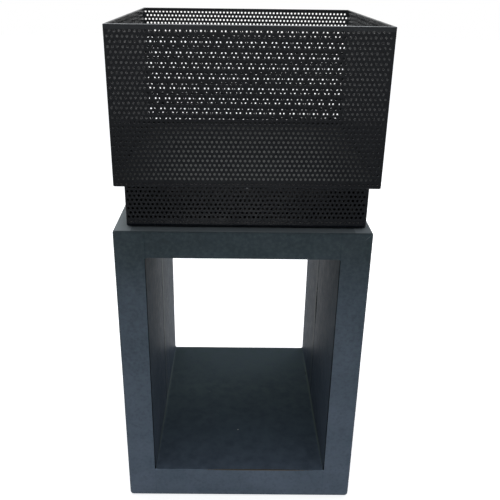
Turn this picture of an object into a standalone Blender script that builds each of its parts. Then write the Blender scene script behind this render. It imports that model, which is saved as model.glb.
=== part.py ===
"""Square fire bowl on a cast stand.

A basket of perforated sheet stands on a vented pedestal of the same sheet. The two are screwed
together and rest loose on a cast stand, which has a niche for logs right through it. A solid fire
tray lies loose in the basket.

Metres, +Z up, the front towards -Y. The origin is the middle of the stand's underside.
"""

import math

import bmesh
import bpy
from mathutils import Matrix, Vector

# Fits: the gap between pieces that touch, how far cutters reach past a face, and what counts as one point
SEAT_GAP = 0.0003
CUT_OVERRUN = 0.002
MERGE_DISTANCE = 0.000003

# Stand: one casting, with the niche through it from front to back
STAND_WIDTH = 0.3835
STAND_DEPTH = 0.3835
STAND_HEIGHT = 0.503
STAND_SIDE_WALL = 0.0467
STAND_TOP_WALL = 0.0415
STAND_BOTTOM_WALL = 0.0575
STAND_EDGE_RADIUS = 0.003
STAND_CORNER_RADIUS = 0.006
NICHE_CORNER_RADIUS = 0.004

# Bowl: the sheet that basket and pedestal are folded from, and how far the bowl stands off centre
BOWL_SHIFT = 0.0048
SHEET = 0.0015
SHEET_CORNER_RADIUS = 0.002
HOLE_DIAMETER = 0.0042
HOLE_PITCH = 0.0066
HOLE_ROW_PITCH = 0.0066
HOLE_SIDE_MARGIN = 0.0075

# Holes are drawn this many times their real size and spacing, so the open share stays the real one
DRAWN_HOLE_SCALE_SHARE = 4.4
HOLE_SIDES = 6

# Basket: four walls with a folded hem along the rim
BASKET_WIDTH = 0.381
BASKET_DEPTH = 0.381
BASKET_HEIGHT = 0.2213
BASKET_HEM = 0.0055
BASKET_PLAIN_TOP = 0.006
BASKET_PLAIN_FOOT = 0.0117

# Pedestal: four walls set back below the basket, whose lower edges bend in, and a pan as its bottom
PEDESTAL_SETBACK = 0.0133
PEDESTAL_HEIGHT = 0.0666
PEDESTAL_BEND_RADIUS = 0.004
PEDESTAL_PLAIN_TOP = 0.0037
PEDESTAL_PLAIN_FOOT = 0.0124
PAN_LIP = 0.013
PAN_BEND_RADIUS = 0.0025
PAN_CORNER_RADIUS = 0.005

# Ledges: flat bars inside the head of the pedestal, and wider ones in the foot of the basket
LEDGE_THICKNESS = 0.003
PEDESTAL_LEDGE_WIDTH = 0.020

# Fire tray: lies on the basket's ledges and lifts out past the hem
TRAY_CLEARANCE = 0.001
TRAY_LIP = 0.008
TRAY_BEND_RADIUS = 0.0025
TRAY_CORNER_RADIUS = 0.006

# Screws: countersunk, flush with the basket's ledges, each with a washer and a nut below
SCREW_DIAMETER = 0.005
SCREW_LENGTH = 0.016
SCREW_HEAD_DIAMETER = 0.010
SCREW_SOCKET = 0.003
SCREW_SOCKET_DEPTH = 0.0018
SCREW_TIP_CHAMFER = 0.0005
WASHER_DIAMETER = 0.010
WASHER_THICKNESS = 0.001
NUT_FLATS = 0.008
NUT_HEIGHT = 0.004

# Counts of flat steps in rounded forms, and the turn in degrees past which an edge is sharp
ROUND_STEPS = 12
BEND_STEPS = 3
EDGE_STEPS = 2
HEM_STEPS = 6
SHARP_ANGLE = 50

# Levels above the bowl's own underside
PEDESTAL_LEDGE_TOP = PEDESTAL_HEIGHT
PEDESTAL_LEDGE_FOOT = PEDESTAL_LEDGE_TOP - LEDGE_THICKNESS
BASKET_FOOT = PEDESTAL_HEIGHT + SEAT_GAP
BASKET_LEDGE_TOP = BASKET_FOOT + LEDGE_THICKNESS
TRAY_FOOT = BASKET_LEDGE_TOP + SEAT_GAP
WASHER_TOP = PEDESTAL_LEDGE_FOOT - SEAT_GAP
NUT_TOP = WASHER_TOP - WASHER_THICKNESS - SEAT_GAP
BOWL_FOOT = STAND_HEIGHT + SEAT_GAP

# Half sizes in plan, across and along the depth
BOTH_WAYS = Vector((1, 1))
BASKET_OUTSIDE = Vector((BASKET_WIDTH, BASKET_DEPTH)) / 2
BASKET_INSIDE = BASKET_OUTSIDE - BOTH_WAYS * (SHEET + SEAT_GAP)
PEDESTAL_OUTSIDE = BASKET_OUTSIDE - BOTH_WAYS * PEDESTAL_SETBACK
PEDESTAL_INSIDE = PEDESTAL_OUTSIDE - BOTH_WAYS * (SHEET + SEAT_GAP)
LEDGE_OPENING = PEDESTAL_INSIDE - BOTH_WAYS * PEDESTAL_LEDGE_WIDTH
SCREW_LINE = PEDESTAL_INSIDE - BOTH_WAYS * PEDESTAL_LEDGE_WIDTH / 2
TRAY_OUTSIDE = BASKET_OUTSIDE - BOTH_WAYS * (2 * SHEET + TRAY_CLEARANCE)
PAN_OUTSIDE = PEDESTAL_OUTSIDE - BOTH_WAYS * (PEDESTAL_BEND_RADIUS + SEAT_GAP)

# The four sides: name, turn about +Z from the front, and which plan axis its length lies along
SIDES = (("front", 0, 0), ("right", 1, 1), ("back", 2, 0), ("left", 3, 1))


def clear_scene():
    """Remove whatever the scene holds."""
    for item in list(bpy.data.objects):
        bpy.data.objects.remove(item, do_unlink=True)


def new_collection(name):
    """Make a collection and link it to the scene."""
    group = bpy.data.collections.new(name)
    bpy.context.scene.collection.children.link(group)
    return group


def linear(hex_colour):
    """Turn an sRGB hex colour into linear RGBA."""
    channels = [int(hex_colour[i:i + 2], 16) / 255 for i in (1, 3, 5)]
    return [c / 12.92 if c <= 0.04045 else ((c + 0.055) / 1.055) ** 2.4 for c in channels] + [1]


def new_material(name, hex_colour, roughness, metallic):
    """Make a Principled material."""
    mat = bpy.data.materials.new(name)
    mat.use_nodes = True
    shader = mat.node_tree.nodes["Principled BSDF"]
    shader.inputs["Base Color"].default_value = linear(hex_colour)
    shader.inputs["Roughness"].default_value = roughness
    shader.inputs["Metallic"].default_value = metallic
    mat.diffuse_color = linear(hex_colour)
    return mat


def add_object(name, mesh, group, parent=None, location=(0, 0, 0), turns=0, mat=None):
    """Link a mesh as an object, under its parent, turned by quarter turns about +Z."""
    item = bpy.data.objects.new(name, mesh)
    group.objects.link(item)
    item.parent = parent
    item.location = location
    item.rotation_euler = (0, 0, turns * math.pi / 2)
    if mat:
        mesh.materials.append(mat)
    return item


def add_empty(name, group, location):
    """Add an empty that a body's pieces hang from."""
    item = bpy.data.objects.new(name, None)
    group.objects.link(item)
    item.location = location
    return item


def add_cutter(name, mesh, parent, location=(0, 0, 0), turns=0):
    """Add a cutter, which isn't part of the object."""
    item = add_object(name, mesh, CUTTERS, parent, location, turns)
    item.hide_render = True
    item.display_type = "WIRE"
    return item


def boolean(item, cutter, operation="DIFFERENCE"):
    """Cut or trim an object with a cutter."""
    mod = item.modifiers.new(operation.lower(), "BOOLEAN")
    mod.operation = operation
    mod.solver = "EXACT"
    mod.object = cutter


def mesh_from(bm, name):
    """Turn a bmesh into a mesh."""
    mesh = bpy.data.meshes.new(name)
    bm.to_mesh(mesh)
    bm.free()
    return mesh


def closed_mesh_from(bm, name):
    """Turn a closed bmesh into a mesh, with its faces pointing out."""
    bmesh.ops.recalc_face_normals(bm, faces=bm.faces)
    return mesh_from(bm, name)


def arc(centre_x, centre_y, radius, start, end, steps):
    """Points along an arc, from start to end in degrees."""
    angles = [math.radians(start + (end - start) * i / steps) for i in range(steps + 1)]
    return [(centre_x + radius * math.cos(a), centre_y + radius * math.sin(a)) for a in angles]


def extrude_outline(name, points, length, axes):
    """Fill a closed outline and extrude it half its length to each side, as a mesh.

    axes is the matrix that lays the outline's own X, Y and Z along the piece's axes.
    """
    data = bpy.data.curves.new(name, "CURVE")
    data.dimensions = "2D"
    data.fill_mode = "BOTH"
    data.extrude = length / 2
    line = data.splines.new("POLY")
    line.points.add(len(points) - 1)
    for point, (x, y) in zip(line.points, points):
        point.co = (x, y, 0, 1)
    line.use_cyclic_u = True
    holder = bpy.data.objects.new(name, data)
    bpy.context.scene.collection.objects.link(holder)
    graph = bpy.context.evaluated_depsgraph_get()
    flat = bpy.data.meshes.new_from_object(holder.evaluated_get(graph))
    bm = bmesh.new()
    bm.from_mesh(flat)
    bmesh.ops.remove_doubles(bm, verts=bm.verts, dist=MERGE_DISTANCE)
    bmesh.ops.transform(bm, matrix=axes, verts=bm.verts)
    bpy.data.objects.remove(holder, do_unlink=True)
    bpy.data.curves.remove(data)
    bpy.data.meshes.remove(flat)
    return closed_mesh_from(bm, name)


# A section runs across the sheet and up, and is drawn out along the wall
SECTION_AXES = Matrix(((0, 0, 1, 0), (1, 0, 0, 0), (0, 1, 0, 0), (0, 0, 0, 1)))


def block(size, centre=(0, 0, 0)):
    """A box as a bmesh, from a unit cube."""
    bm = bmesh.new()
    scale = Matrix.Diagonal((*size, 1))
    bmesh.ops.create_cube(bm, size=1, matrix=Matrix.Translation(centre) @ scale)
    return bm


def edges_along(bm, axis):
    """The edges of a box that run along one axis."""
    found = []
    for edge in bm.edges:
        run = edge.verts[0].co - edge.verts[1].co
        across = math.sqrt(max(run.length_squared - run[axis] ** 2, 0))
        if across < abs(run[axis]):
            found.append(edge)
    return found


def cylinder(radius_low, radius_high, low, high, sides):
    """A cylinder or cone about +Z between two levels, as a bmesh."""
    bm = bmesh.new()
    place = Matrix.Translation((0, 0, (low + high) / 2))
    bmesh.ops.create_cone(bm, cap_ends=True, segments=sides, radius1=radius_low, radius2=radius_high,
                          depth=high - low, matrix=place)
    return bm


def turned(name, profile, parent, location, closed=False):
    """Turn a profile of (radius, height) about +Z, smooth round its axis and sharp at its corners."""
    bm = bmesh.new()
    points = [bm.verts.new((r, 0, z)) for r, z in profile]
    for first, second in zip(points, points[1:]):
        bm.edges.new((first, second))
    if closed:
        bm.edges.new((points[-1], points[0]))
    item = add_object(name, mesh_from(bm, name), PIECES, parent, location, mat=ZINC)
    mod = item.modifiers.new("turn", "SCREW")
    mod.axis = "Z"
    mod.steps = ROUND_STEPS
    mod.render_steps = ROUND_STEPS
    mod.use_merge_vertices = True
    mod.merge_threshold = MERGE_DISTANCE
    outline = item.data
    graph = bpy.context.evaluated_depsgraph_get()
    item.data = bpy.data.meshes.new_from_object(item.evaluated_get(graph))
    item.modifiers.remove(mod)
    bpy.data.meshes.remove(outline)
    item.data.shade_smooth()
    item.data.set_sharp_from_angle(angle=math.radians(SHARP_ANGLE))
    return item


def equal_area_radius(radius, sides):
    """The corner radius of a regular outline with the area of a circle."""
    return radius * math.sqrt(2 * math.pi / (sides * math.sin(2 * math.pi / sides)))


def staggered_places(length, height, pitch, row_pitch, hole):
    """Hole centres about the middle of a band, each second row moved half a pitch and one hole short."""
    rounding_share = 1e-6
    columns = int((length - hole) / pitch + rounding_share) + 1
    rows = int((height - hole) / row_pitch + rounding_share) + 1
    places = []
    for row in range(rows):
        count = columns - row % 2
        level = (row - (rows - 1) / 2) * row_pitch
        for column in range(count):
            places.append(((column - (count - 1) / 2) * pitch, level))
    return places


def perforation(name, length, low, high):
    """One cutter with every hole of a wall, between two levels of the wall."""
    radius = equal_area_radius(HOLE_DIAMETER / 2 * DRAWN_HOLE_SCALE_SHARE, HOLE_SIDES)
    pitch = HOLE_PITCH * DRAWN_HOLE_SCALE_SHARE
    row_pitch = HOLE_ROW_PITCH * DRAWN_HOLE_SCALE_SHARE
    middle = (low + high) / 2
    depth = SHEET + 2 * CUT_OVERRUN
    bm = bmesh.new()
    for across, up in staggered_places(length, high - low, pitch, row_pitch, 2 * radius):
        place = Matrix.Translation((across, SHEET / 2, middle + up)) @ Matrix.Rotation(math.pi / 2, 4, "X")
        bmesh.ops.create_cone(bm, cap_ends=True, segments=HOLE_SIDES, radius1=radius, radius2=radius,
                              depth=depth, matrix=place)
    return closed_mesh_from(bm, name)


def mitre_outline(length, depth):
    """Plan of a wall: its outer corners rounded, its ends cut at 45 degrees to meet the next wall."""
    half = length / 2
    radius = SHEET_CORNER_RADIUS
    cut = SEAT_GAP / 2 * math.sqrt(2)
    right = arc(half - radius, radius, radius, -90, -45, EDGE_STEPS)
    right[-1] = (right[-1][0] - cut / 2, right[-1][1] - cut / 2)
    left = [(-x, y) for x, y in reversed(right)]
    front = [(-half + radius, -CUT_OVERRUN), (half - radius, -CUT_OVERRUN)]
    inner = depth + CUT_OVERRUN
    return front + right + [(half - inner - cut, inner), (-half + inner + cut, inner)] + left


def perforated_wall(name, section, length, height, holes, depth, parent, location, turns):
    """A wall drawn out from its section, mitred in plan and perforated.

    The wall's outer face lies on its local XZ plane, and its thickness runs inwards along +Y.
    """
    mesh = extrude_outline(name, section, length + 2 * CUT_OVERRUN, SECTION_AXES)
    wall = add_object(name, mesh, PIECES, parent, location, turns, STEEL)
    plan = extrude_outline(name + "_plan", mitre_outline(length, depth), height + 2 * CUT_OVERRUN,
                           Matrix.Translation((0, 0, height / 2)))
    boolean(wall, add_cutter(name + "_plan", plan, parent, location, turns), "INTERSECT")
    punch = perforation(name + "_holes", length - 2 * HOLE_SIDE_MARGIN, *holes)
    boolean(wall, add_cutter(name + "_holes", punch, parent, location, turns))
    return wall


def basket_section():
    """Section of a basket wall: rounded foot, and the hem folded in along the rim."""
    foot = arc(SHEET, SHEET, SHEET, 270, 180, EDGE_STEPS)
    rim = arc(SHEET, BASKET_HEIGHT - SHEET, SHEET, 180, 0, HEM_STEPS)
    hem_foot = BASKET_HEIGHT - BASKET_HEM
    return foot + rim + [(2 * SHEET, hem_foot), (SHEET, hem_foot)]


def pedestal_section():
    """Section of a pedestal wall: an upright sheet whose lower edge bends in."""
    radius = PEDESTAL_BEND_RADIUS
    outer = arc(radius, radius, radius, 270, 180, BEND_STEPS)
    inner = arc(radius, radius, radius - SHEET, 180, 270, BEND_STEPS)
    return outer + [(0, PEDESTAL_HEIGHT), (SHEET, PEDESTAL_HEIGHT)] + inner


def side_place(turns, half):
    """Where a side's local origin lies: the middle of that side of a rectangle in plan."""
    return ((0, -half.y), (half.x, 0), (0, half.y), (-half.x, 0))[turns]


def build_stand():
    """The cast stand, with rounded corners and the niche through it."""
    size = (STAND_WIDTH, STAND_DEPTH, STAND_HEIGHT)
    bm = block(size, (0, 0, STAND_HEIGHT / 2))
    low_edges = [e for e in bm.edges if all(v.co.z < STAND_HEIGHT / 2 for v in e.verts)]
    rounded = edges_along(bm, 2) + low_edges
    bmesh.ops.bevel(bm, geom=rounded, offset=STAND_CORNER_RADIUS, segments=BEND_STEPS, profile=0.5,
                    affect="EDGES")
    stand = add_object("stand_body", closed_mesh_from(bm, "stand_body"), PIECES, mat=CASTING)
    niche_width = STAND_WIDTH - 2 * STAND_SIDE_WALL
    niche_height = STAND_HEIGHT - STAND_TOP_WALL - STAND_BOTTOM_WALL
    niche = block((niche_width, STAND_DEPTH + 2 * CUT_OVERRUN, niche_height),
                  (0, 0, STAND_BOTTOM_WALL + niche_height / 2))
    bmesh.ops.bevel(niche, geom=edges_along(niche, 1), offset=NICHE_CORNER_RADIUS, segments=BEND_STEPS,
                    profile=0.5, affect="EDGES")
    boolean(stand, add_cutter("stand_niche", closed_mesh_from(niche, "stand_niche"), None))
    soft = stand.modifiers.new("soft edges", "BEVEL")
    soft.width = STAND_EDGE_RADIUS
    soft.segments = EDGE_STEPS
    soft.limit_method = "ANGLE"
    soft.angle_limit = math.radians(SHARP_ANGLE)
    return stand


def build_tray(name, half, lip, corner_radius, bend_radius, parent, location=(0, 0, 0)):
    """A square pan folded from sheet: a flat floor with a low lip all round."""
    bm = block((2 * half.x, 2 * half.y, lip), (0, 0, lip / 2))
    tops = [f for f in bm.faces if all(v.co.z > lip / 2 for v in f.verts)]
    bmesh.ops.delete(bm, geom=tops, context="FACES_ONLY")
    bmesh.ops.bevel(bm, geom=edges_along(bm, 2), offset=corner_radius, segments=BEND_STEPS, profile=0.5,
                    affect="EDGES")
    floor_edges = [e for e in bm.edges if all(v.co.z < lip / 2 for v in e.verts)]
    bmesh.ops.bevel(bm, geom=floor_edges, offset=bend_radius, segments=EDGE_STEPS, profile=0.5,
                    affect="EDGES")
    item = add_object(name, mesh_from(bm, name), PIECES, parent, location, mat=STEEL)
    wall = item.modifiers.new("sheet", "SOLIDIFY")
    wall.thickness = SHEET
    wall.offset = -1
    return item


def ledge_size(axis, inside):
    """Length and width of a side's ledge bar.

    The bars at front and back run the full width inside the walls, the other two between them.
    """
    if axis == 0:
        return 2 * inside.x, inside.y - LEDGE_OPENING.y
    return 2 * (LEDGE_OPENING.y - SEAT_GAP), inside.x - LEDGE_OPENING.x


def build_ledge(name, turns, axis, inside, foot, parent, countersunk):
    """A flat bar along one side, with the hole for its screw."""
    length, width = ledge_size(axis, inside)
    outer = side_place(turns, inside)
    bm = block((length, width, LEDGE_THICKNESS), (0, width / 2, LEDGE_THICKNESS / 2))
    bar = add_object(name, mesh_from(bm, name), PIECES, parent, (*outer, foot), turns, STEEL)
    bore = SCREW_DIAMETER / 2 + SEAT_GAP
    place = (*side_place(turns, SCREW_LINE), foot)
    hole = cylinder(bore, bore, -CUT_OVERRUN, LEDGE_THICKNESS + CUT_OVERRUN, ROUND_STEPS)
    boolean(bar, add_cutter(name + "_bore", mesh_from(hole, name + "_bore"), parent, place))
    if countersunk:
        sink = cylinder(bore, bore + head_height() + CUT_OVERRUN, LEDGE_THICKNESS - head_height(),
                        LEDGE_THICKNESS + CUT_OVERRUN, ROUND_STEPS)
        boolean(bar, add_cutter(name + "_sink", mesh_from(sink, name + "_sink"), parent, place))
    return bar


def head_height():
    """Height of the screw's countersunk head, whose cone is square."""
    return (SCREW_HEAD_DIAMETER - SCREW_DIAMETER) / 2


def build_fixing(side, turns, parent):
    """A screw from above through both ledges, with its washer and nut below."""
    place = side_place(turns, SCREW_LINE)
    shank = SCREW_DIAMETER / 2
    tip = shank - SCREW_TIP_CHAMFER
    profile = [(0, 0), (SCREW_HEAD_DIAMETER / 2, 0), (shank, -head_height()),
               (shank, SCREW_TIP_CHAMFER - SCREW_LENGTH), (tip, -SCREW_LENGTH), (0, -SCREW_LENGTH)]
    screw = turned("screw_" + side, profile, parent, (*place, BASKET_LEDGE_TOP))
    key = cylinder(SCREW_SOCKET / math.sqrt(3), SCREW_SOCKET / math.sqrt(3), -SCREW_SOCKET_DEPTH,
                   CUT_OVERRUN, 6)
    boolean(screw, add_cutter("socket_" + side, mesh_from(key, "socket_" + side), parent,
                              (*place, BASKET_LEDGE_TOP)))
    bore = shank + SEAT_GAP
    ring = [(WASHER_DIAMETER / 2, 0), (WASHER_DIAMETER / 2, -WASHER_THICKNESS),
            (bore, -WASHER_THICKNESS), (bore, 0)]
    turned("washer_" + side, ring, parent, (*place, WASHER_TOP), closed=True)
    hexagon = cylinder(NUT_FLATS / math.sqrt(3), NUT_FLATS / math.sqrt(3), -NUT_HEIGHT, 0, 6)
    nut = add_object("nut_" + side, mesh_from(hexagon, "nut_" + side), PIECES, parent,
                     (*place, NUT_TOP), mat=ZINC)
    thread = cylinder(bore, bore, -NUT_HEIGHT - CUT_OVERRUN, CUT_OVERRUN, ROUND_STEPS)
    boolean(nut, add_cutter("nut_bore_" + side, mesh_from(thread, "nut_bore_" + side), parent,
                            (*place, NUT_TOP)))


def build_bowl():
    """Basket, pedestal and fixings, hung from one empty on the bowl's underside."""
    bowl = add_empty("bowl", PIECES, (BOWL_SHIFT, 0, BOWL_FOOT))
    for side, turns, axis in SIDES:
        perforated_wall("basket_wall_" + side, basket_section(), 2 * BASKET_OUTSIDE[axis], BASKET_HEIGHT,
                        (BASKET_PLAIN_FOOT, BASKET_HEIGHT - BASKET_PLAIN_TOP), 2 * SHEET, bowl,
                        (*side_place(turns, BASKET_OUTSIDE), BASKET_FOOT), turns)
        perforated_wall("pedestal_wall_" + side, pedestal_section(), 2 * PEDESTAL_OUTSIDE[axis],
                        PEDESTAL_HEIGHT, (PEDESTAL_PLAIN_FOOT, PEDESTAL_HEIGHT - PEDESTAL_PLAIN_TOP),
                        PEDESTAL_BEND_RADIUS, bowl, (*side_place(turns, PEDESTAL_OUTSIDE), 0), turns)
        build_ledge("basket_ledge_" + side, turns, axis, BASKET_INSIDE, BASKET_FOOT, bowl, True)
        build_ledge("pedestal_ledge_" + side, turns, axis, PEDESTAL_INSIDE, PEDESTAL_LEDGE_FOOT, bowl,
                    False)
        build_fixing(side, turns, bowl)
    build_tray("pedestal_pan", PAN_OUTSIDE, PAN_LIP, PAN_CORNER_RADIUS, PAN_BEND_RADIUS, bowl)
    return bowl


def build_fire_tray():
    """The loose tray that the fire lies on."""
    return build_tray("fire_tray", TRAY_OUTSIDE, TRAY_LIP, TRAY_CORNER_RADIUS, TRAY_BEND_RADIUS, None,
                      (BOWL_SHIFT, 0, BOWL_FOOT + TRAY_FOOT))


clear_scene()
PIECES = new_collection("fire_bowl")
CUTTERS = new_collection("fire_bowl_cutters")
CASTING = new_material("cast magnesia", "#3C4248", 0.72, 0.0)
STEEL = new_material("powder-coated steel", "#1E1F20", 0.45, 0.0)
ZINC = new_material("zinc-plated steel", "#A9ADB0", 0.35, 1.0)
build_stand()
build_bowl()
build_fire_tray()
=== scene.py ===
"""Looks of a square fire bowl: a perforated steel basket on a pedestal, loose on a cast stand.

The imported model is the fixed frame. The stand, the perforated walls, the fire tray, the pedestal's pan and
the fixings are modelled here in full and stand for their solids. The ledges keep theirs and get a finish
and, in the basket, their weld beads.
"""

from __future__ import annotations

import logging
import math
from dataclasses import dataclass
from enum import Enum
from functools import cached_property

import bmesh
import bpy
from mathutils import Matrix, Vector, noise


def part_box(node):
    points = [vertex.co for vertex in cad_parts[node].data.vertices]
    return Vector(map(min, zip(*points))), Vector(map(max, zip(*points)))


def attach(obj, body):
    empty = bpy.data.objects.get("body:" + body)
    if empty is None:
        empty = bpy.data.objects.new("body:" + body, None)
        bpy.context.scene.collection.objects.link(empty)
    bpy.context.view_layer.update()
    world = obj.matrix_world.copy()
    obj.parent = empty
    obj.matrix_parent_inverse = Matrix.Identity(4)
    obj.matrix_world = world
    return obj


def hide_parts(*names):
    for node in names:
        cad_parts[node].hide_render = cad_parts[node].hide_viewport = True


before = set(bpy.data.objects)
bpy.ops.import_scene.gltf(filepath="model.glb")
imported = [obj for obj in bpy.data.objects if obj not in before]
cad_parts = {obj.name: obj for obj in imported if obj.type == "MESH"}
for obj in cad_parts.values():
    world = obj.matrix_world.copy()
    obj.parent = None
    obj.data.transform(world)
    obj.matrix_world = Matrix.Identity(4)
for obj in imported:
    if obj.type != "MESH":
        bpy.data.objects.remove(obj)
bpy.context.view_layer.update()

LOG = logging.getLogger("fire_bowl")
MILLIMETRE = 0.001
SHARP_ANGLE = math.radians(36)
# Noise seldom goes below the first of these or above the second.
NOISE_LOW = 0.3
NOISE_HIGH = 0.7
# A face is square to an axis when this much of its normal lies along it.
SQUARE = 0.9999

Outline = list[tuple[float, float]]


class Side(Enum):
    """A side of the object, with its number of quarter turns about +Z from the front."""

    FRONT = 0
    RIGHT = 1
    BACK = 2
    LEFT = 3

    @property
    def label(self) -> str:
        """The side's name as it stands in a node's name."""
        return self.name.lower()

    @property
    def turn(self) -> Matrix:
        """The turn that takes a piece from the front to this side."""
        return Matrix.Rotation(self.value * math.pi / 2, 4, "Z")


class Body(Enum):
    """The bodies that pieces ride on."""

    STAND = "stand"
    BOWL = "bowl"
    TRAY = "tray"


class Slot(Enum):
    """The material slots."""

    CASTING = "cast_magnesia"
    COATED = "coated_steel"
    TRAY = "tray_steel"
    ZINC = "zinc_plated_steel"


def linear(hex_colour: str) -> tuple[float, float, float, float]:
    """Turn an sRGB hex colour into linear RGBA.

    Args:
        hex_colour: A colour such as "#1E1F20".

    Returns:
        Linear red, green, blue and an alpha of 1.
    """
    channels = [int(hex_colour[i:i + 2], 16) / 255 for i in (1, 3, 5)]
    red, green, blue = (c / 12.92 if c <= 0.04045 else ((c + 0.055) / 1.055) ** 2.4 for c in channels)
    return red, green, blue, 1.0


def feed(tree: bpy.types.NodeTree, node: bpy.types.Node, inputs: dict[str | int, object]) -> None:
    """Set a node's inputs.

    Args:
        tree: The node tree.
        node: The node.
        inputs: Socket values by name or number; an output socket or a node is linked instead.
    """
    for key, value in inputs.items():
        if isinstance(value, bpy.types.Node):
            value = value.outputs[0]
        if isinstance(value, bpy.types.NodeSocket):
            tree.links.new(value, node.inputs[key])
        else:
            node.inputs[key].default_value = value


def add_node(
    tree: bpy.types.NodeTree,
    kind: str,
    settings: dict[str, object] | None = None,
    inputs: dict[str | int, object] | None = None,
) -> bpy.types.Node:
    """Add a node with its settings and links.

    Args:
        tree: The node tree.
        kind: The node's type name.
        settings: Properties to set on the node. A colour ramp's "stops" are hex colours by position.
        inputs: Socket values by name or number; an output socket or a node is linked instead.

    Returns:
        The new node.
    """
    node = tree.nodes.new(kind)
    for name, value in (settings or {}).items():
        if name != "stops":
            setattr(node, name, value)
            continue
        elements = node.color_ramp.elements
        while len(elements) < len(value):
            elements.new(0.5)
        for element, (position, colour) in zip(elements, sorted(value.items())):
            element.position = position
            element.color = linear(colour)
    feed(tree, node, inputs or {})
    return node


class Surface:
    """A material being built, with the sockets that its layers read."""

    def __init__(self, name: str) -> None:
        """Start the material.

        Args:
            name: The real material's name.
        """
        self.material = bpy.data.materials.new(name)
        self.material.use_nodes = True
        self.tree = self.material.node_tree
        self.place = add_node(self.tree, "ShaderNodeTexCoord").outputs["Object"]

    @cached_property
    def axes(self) -> bpy.types.NodeOutputs:
        """The place on the piece along X, Y and Z, in metres."""
        return add_node(self.tree, "ShaderNodeSeparateXYZ", {}, {0: self.place}).outputs

    @cached_property
    def geometry(self) -> bpy.types.NodeOutputs:
        """How the mesh faces and how sharp its edges are."""
        return add_node(self.tree, "ShaderNodeNewGeometry").outputs

    @cached_property
    def facing_up(self) -> bpy.types.NodeSocket:
        """How far the surface faces up."""
        return add_node(self.tree, "ShaderNodeSeparateXYZ", {}, {0: self.geometry["Normal"]}).outputs["Z"]

    def layered(self, colour: bpy.types.NodeSocket,
                layers: list[tuple[bpy.types.Node, str | bpy.types.Node]]) -> bpy.types.NodeSocket:
        """Lay colours over a colour, one after another.

        Args:
            colour: The colour at the bottom.
            layers: The share of each layer, and its hex colour or the node that gives its colour.

        Returns:
            The socket of the colour that shows.
        """
        for share, top in layers:
            mix = add_node(self.tree, "ShaderNodeMix", {"data_type": "RGBA"},
                           {"Factor": share, 6: colour, 7: linear(top) if isinstance(top, str) else top})
            colour = mix.outputs[2]
        return colour

    def finished(self, inputs: dict[str, object]) -> bpy.types.Material:
        """Set the shader's own inputs and give the material.

        Args:
            inputs: Values, sockets or nodes by the input's name.

        Returns:
            The material.
        """
        feed(self.tree, self.tree.nodes["Principled BSDF"], inputs)
        return self.material


@dataclass(frozen=True)
class Mark:
    """A small mark on a surface: where it is, how far it reaches each way, and its colour."""

    centre: tuple[float, float, float]
    reach: tuple[float, float, float]
    colour: str


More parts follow.
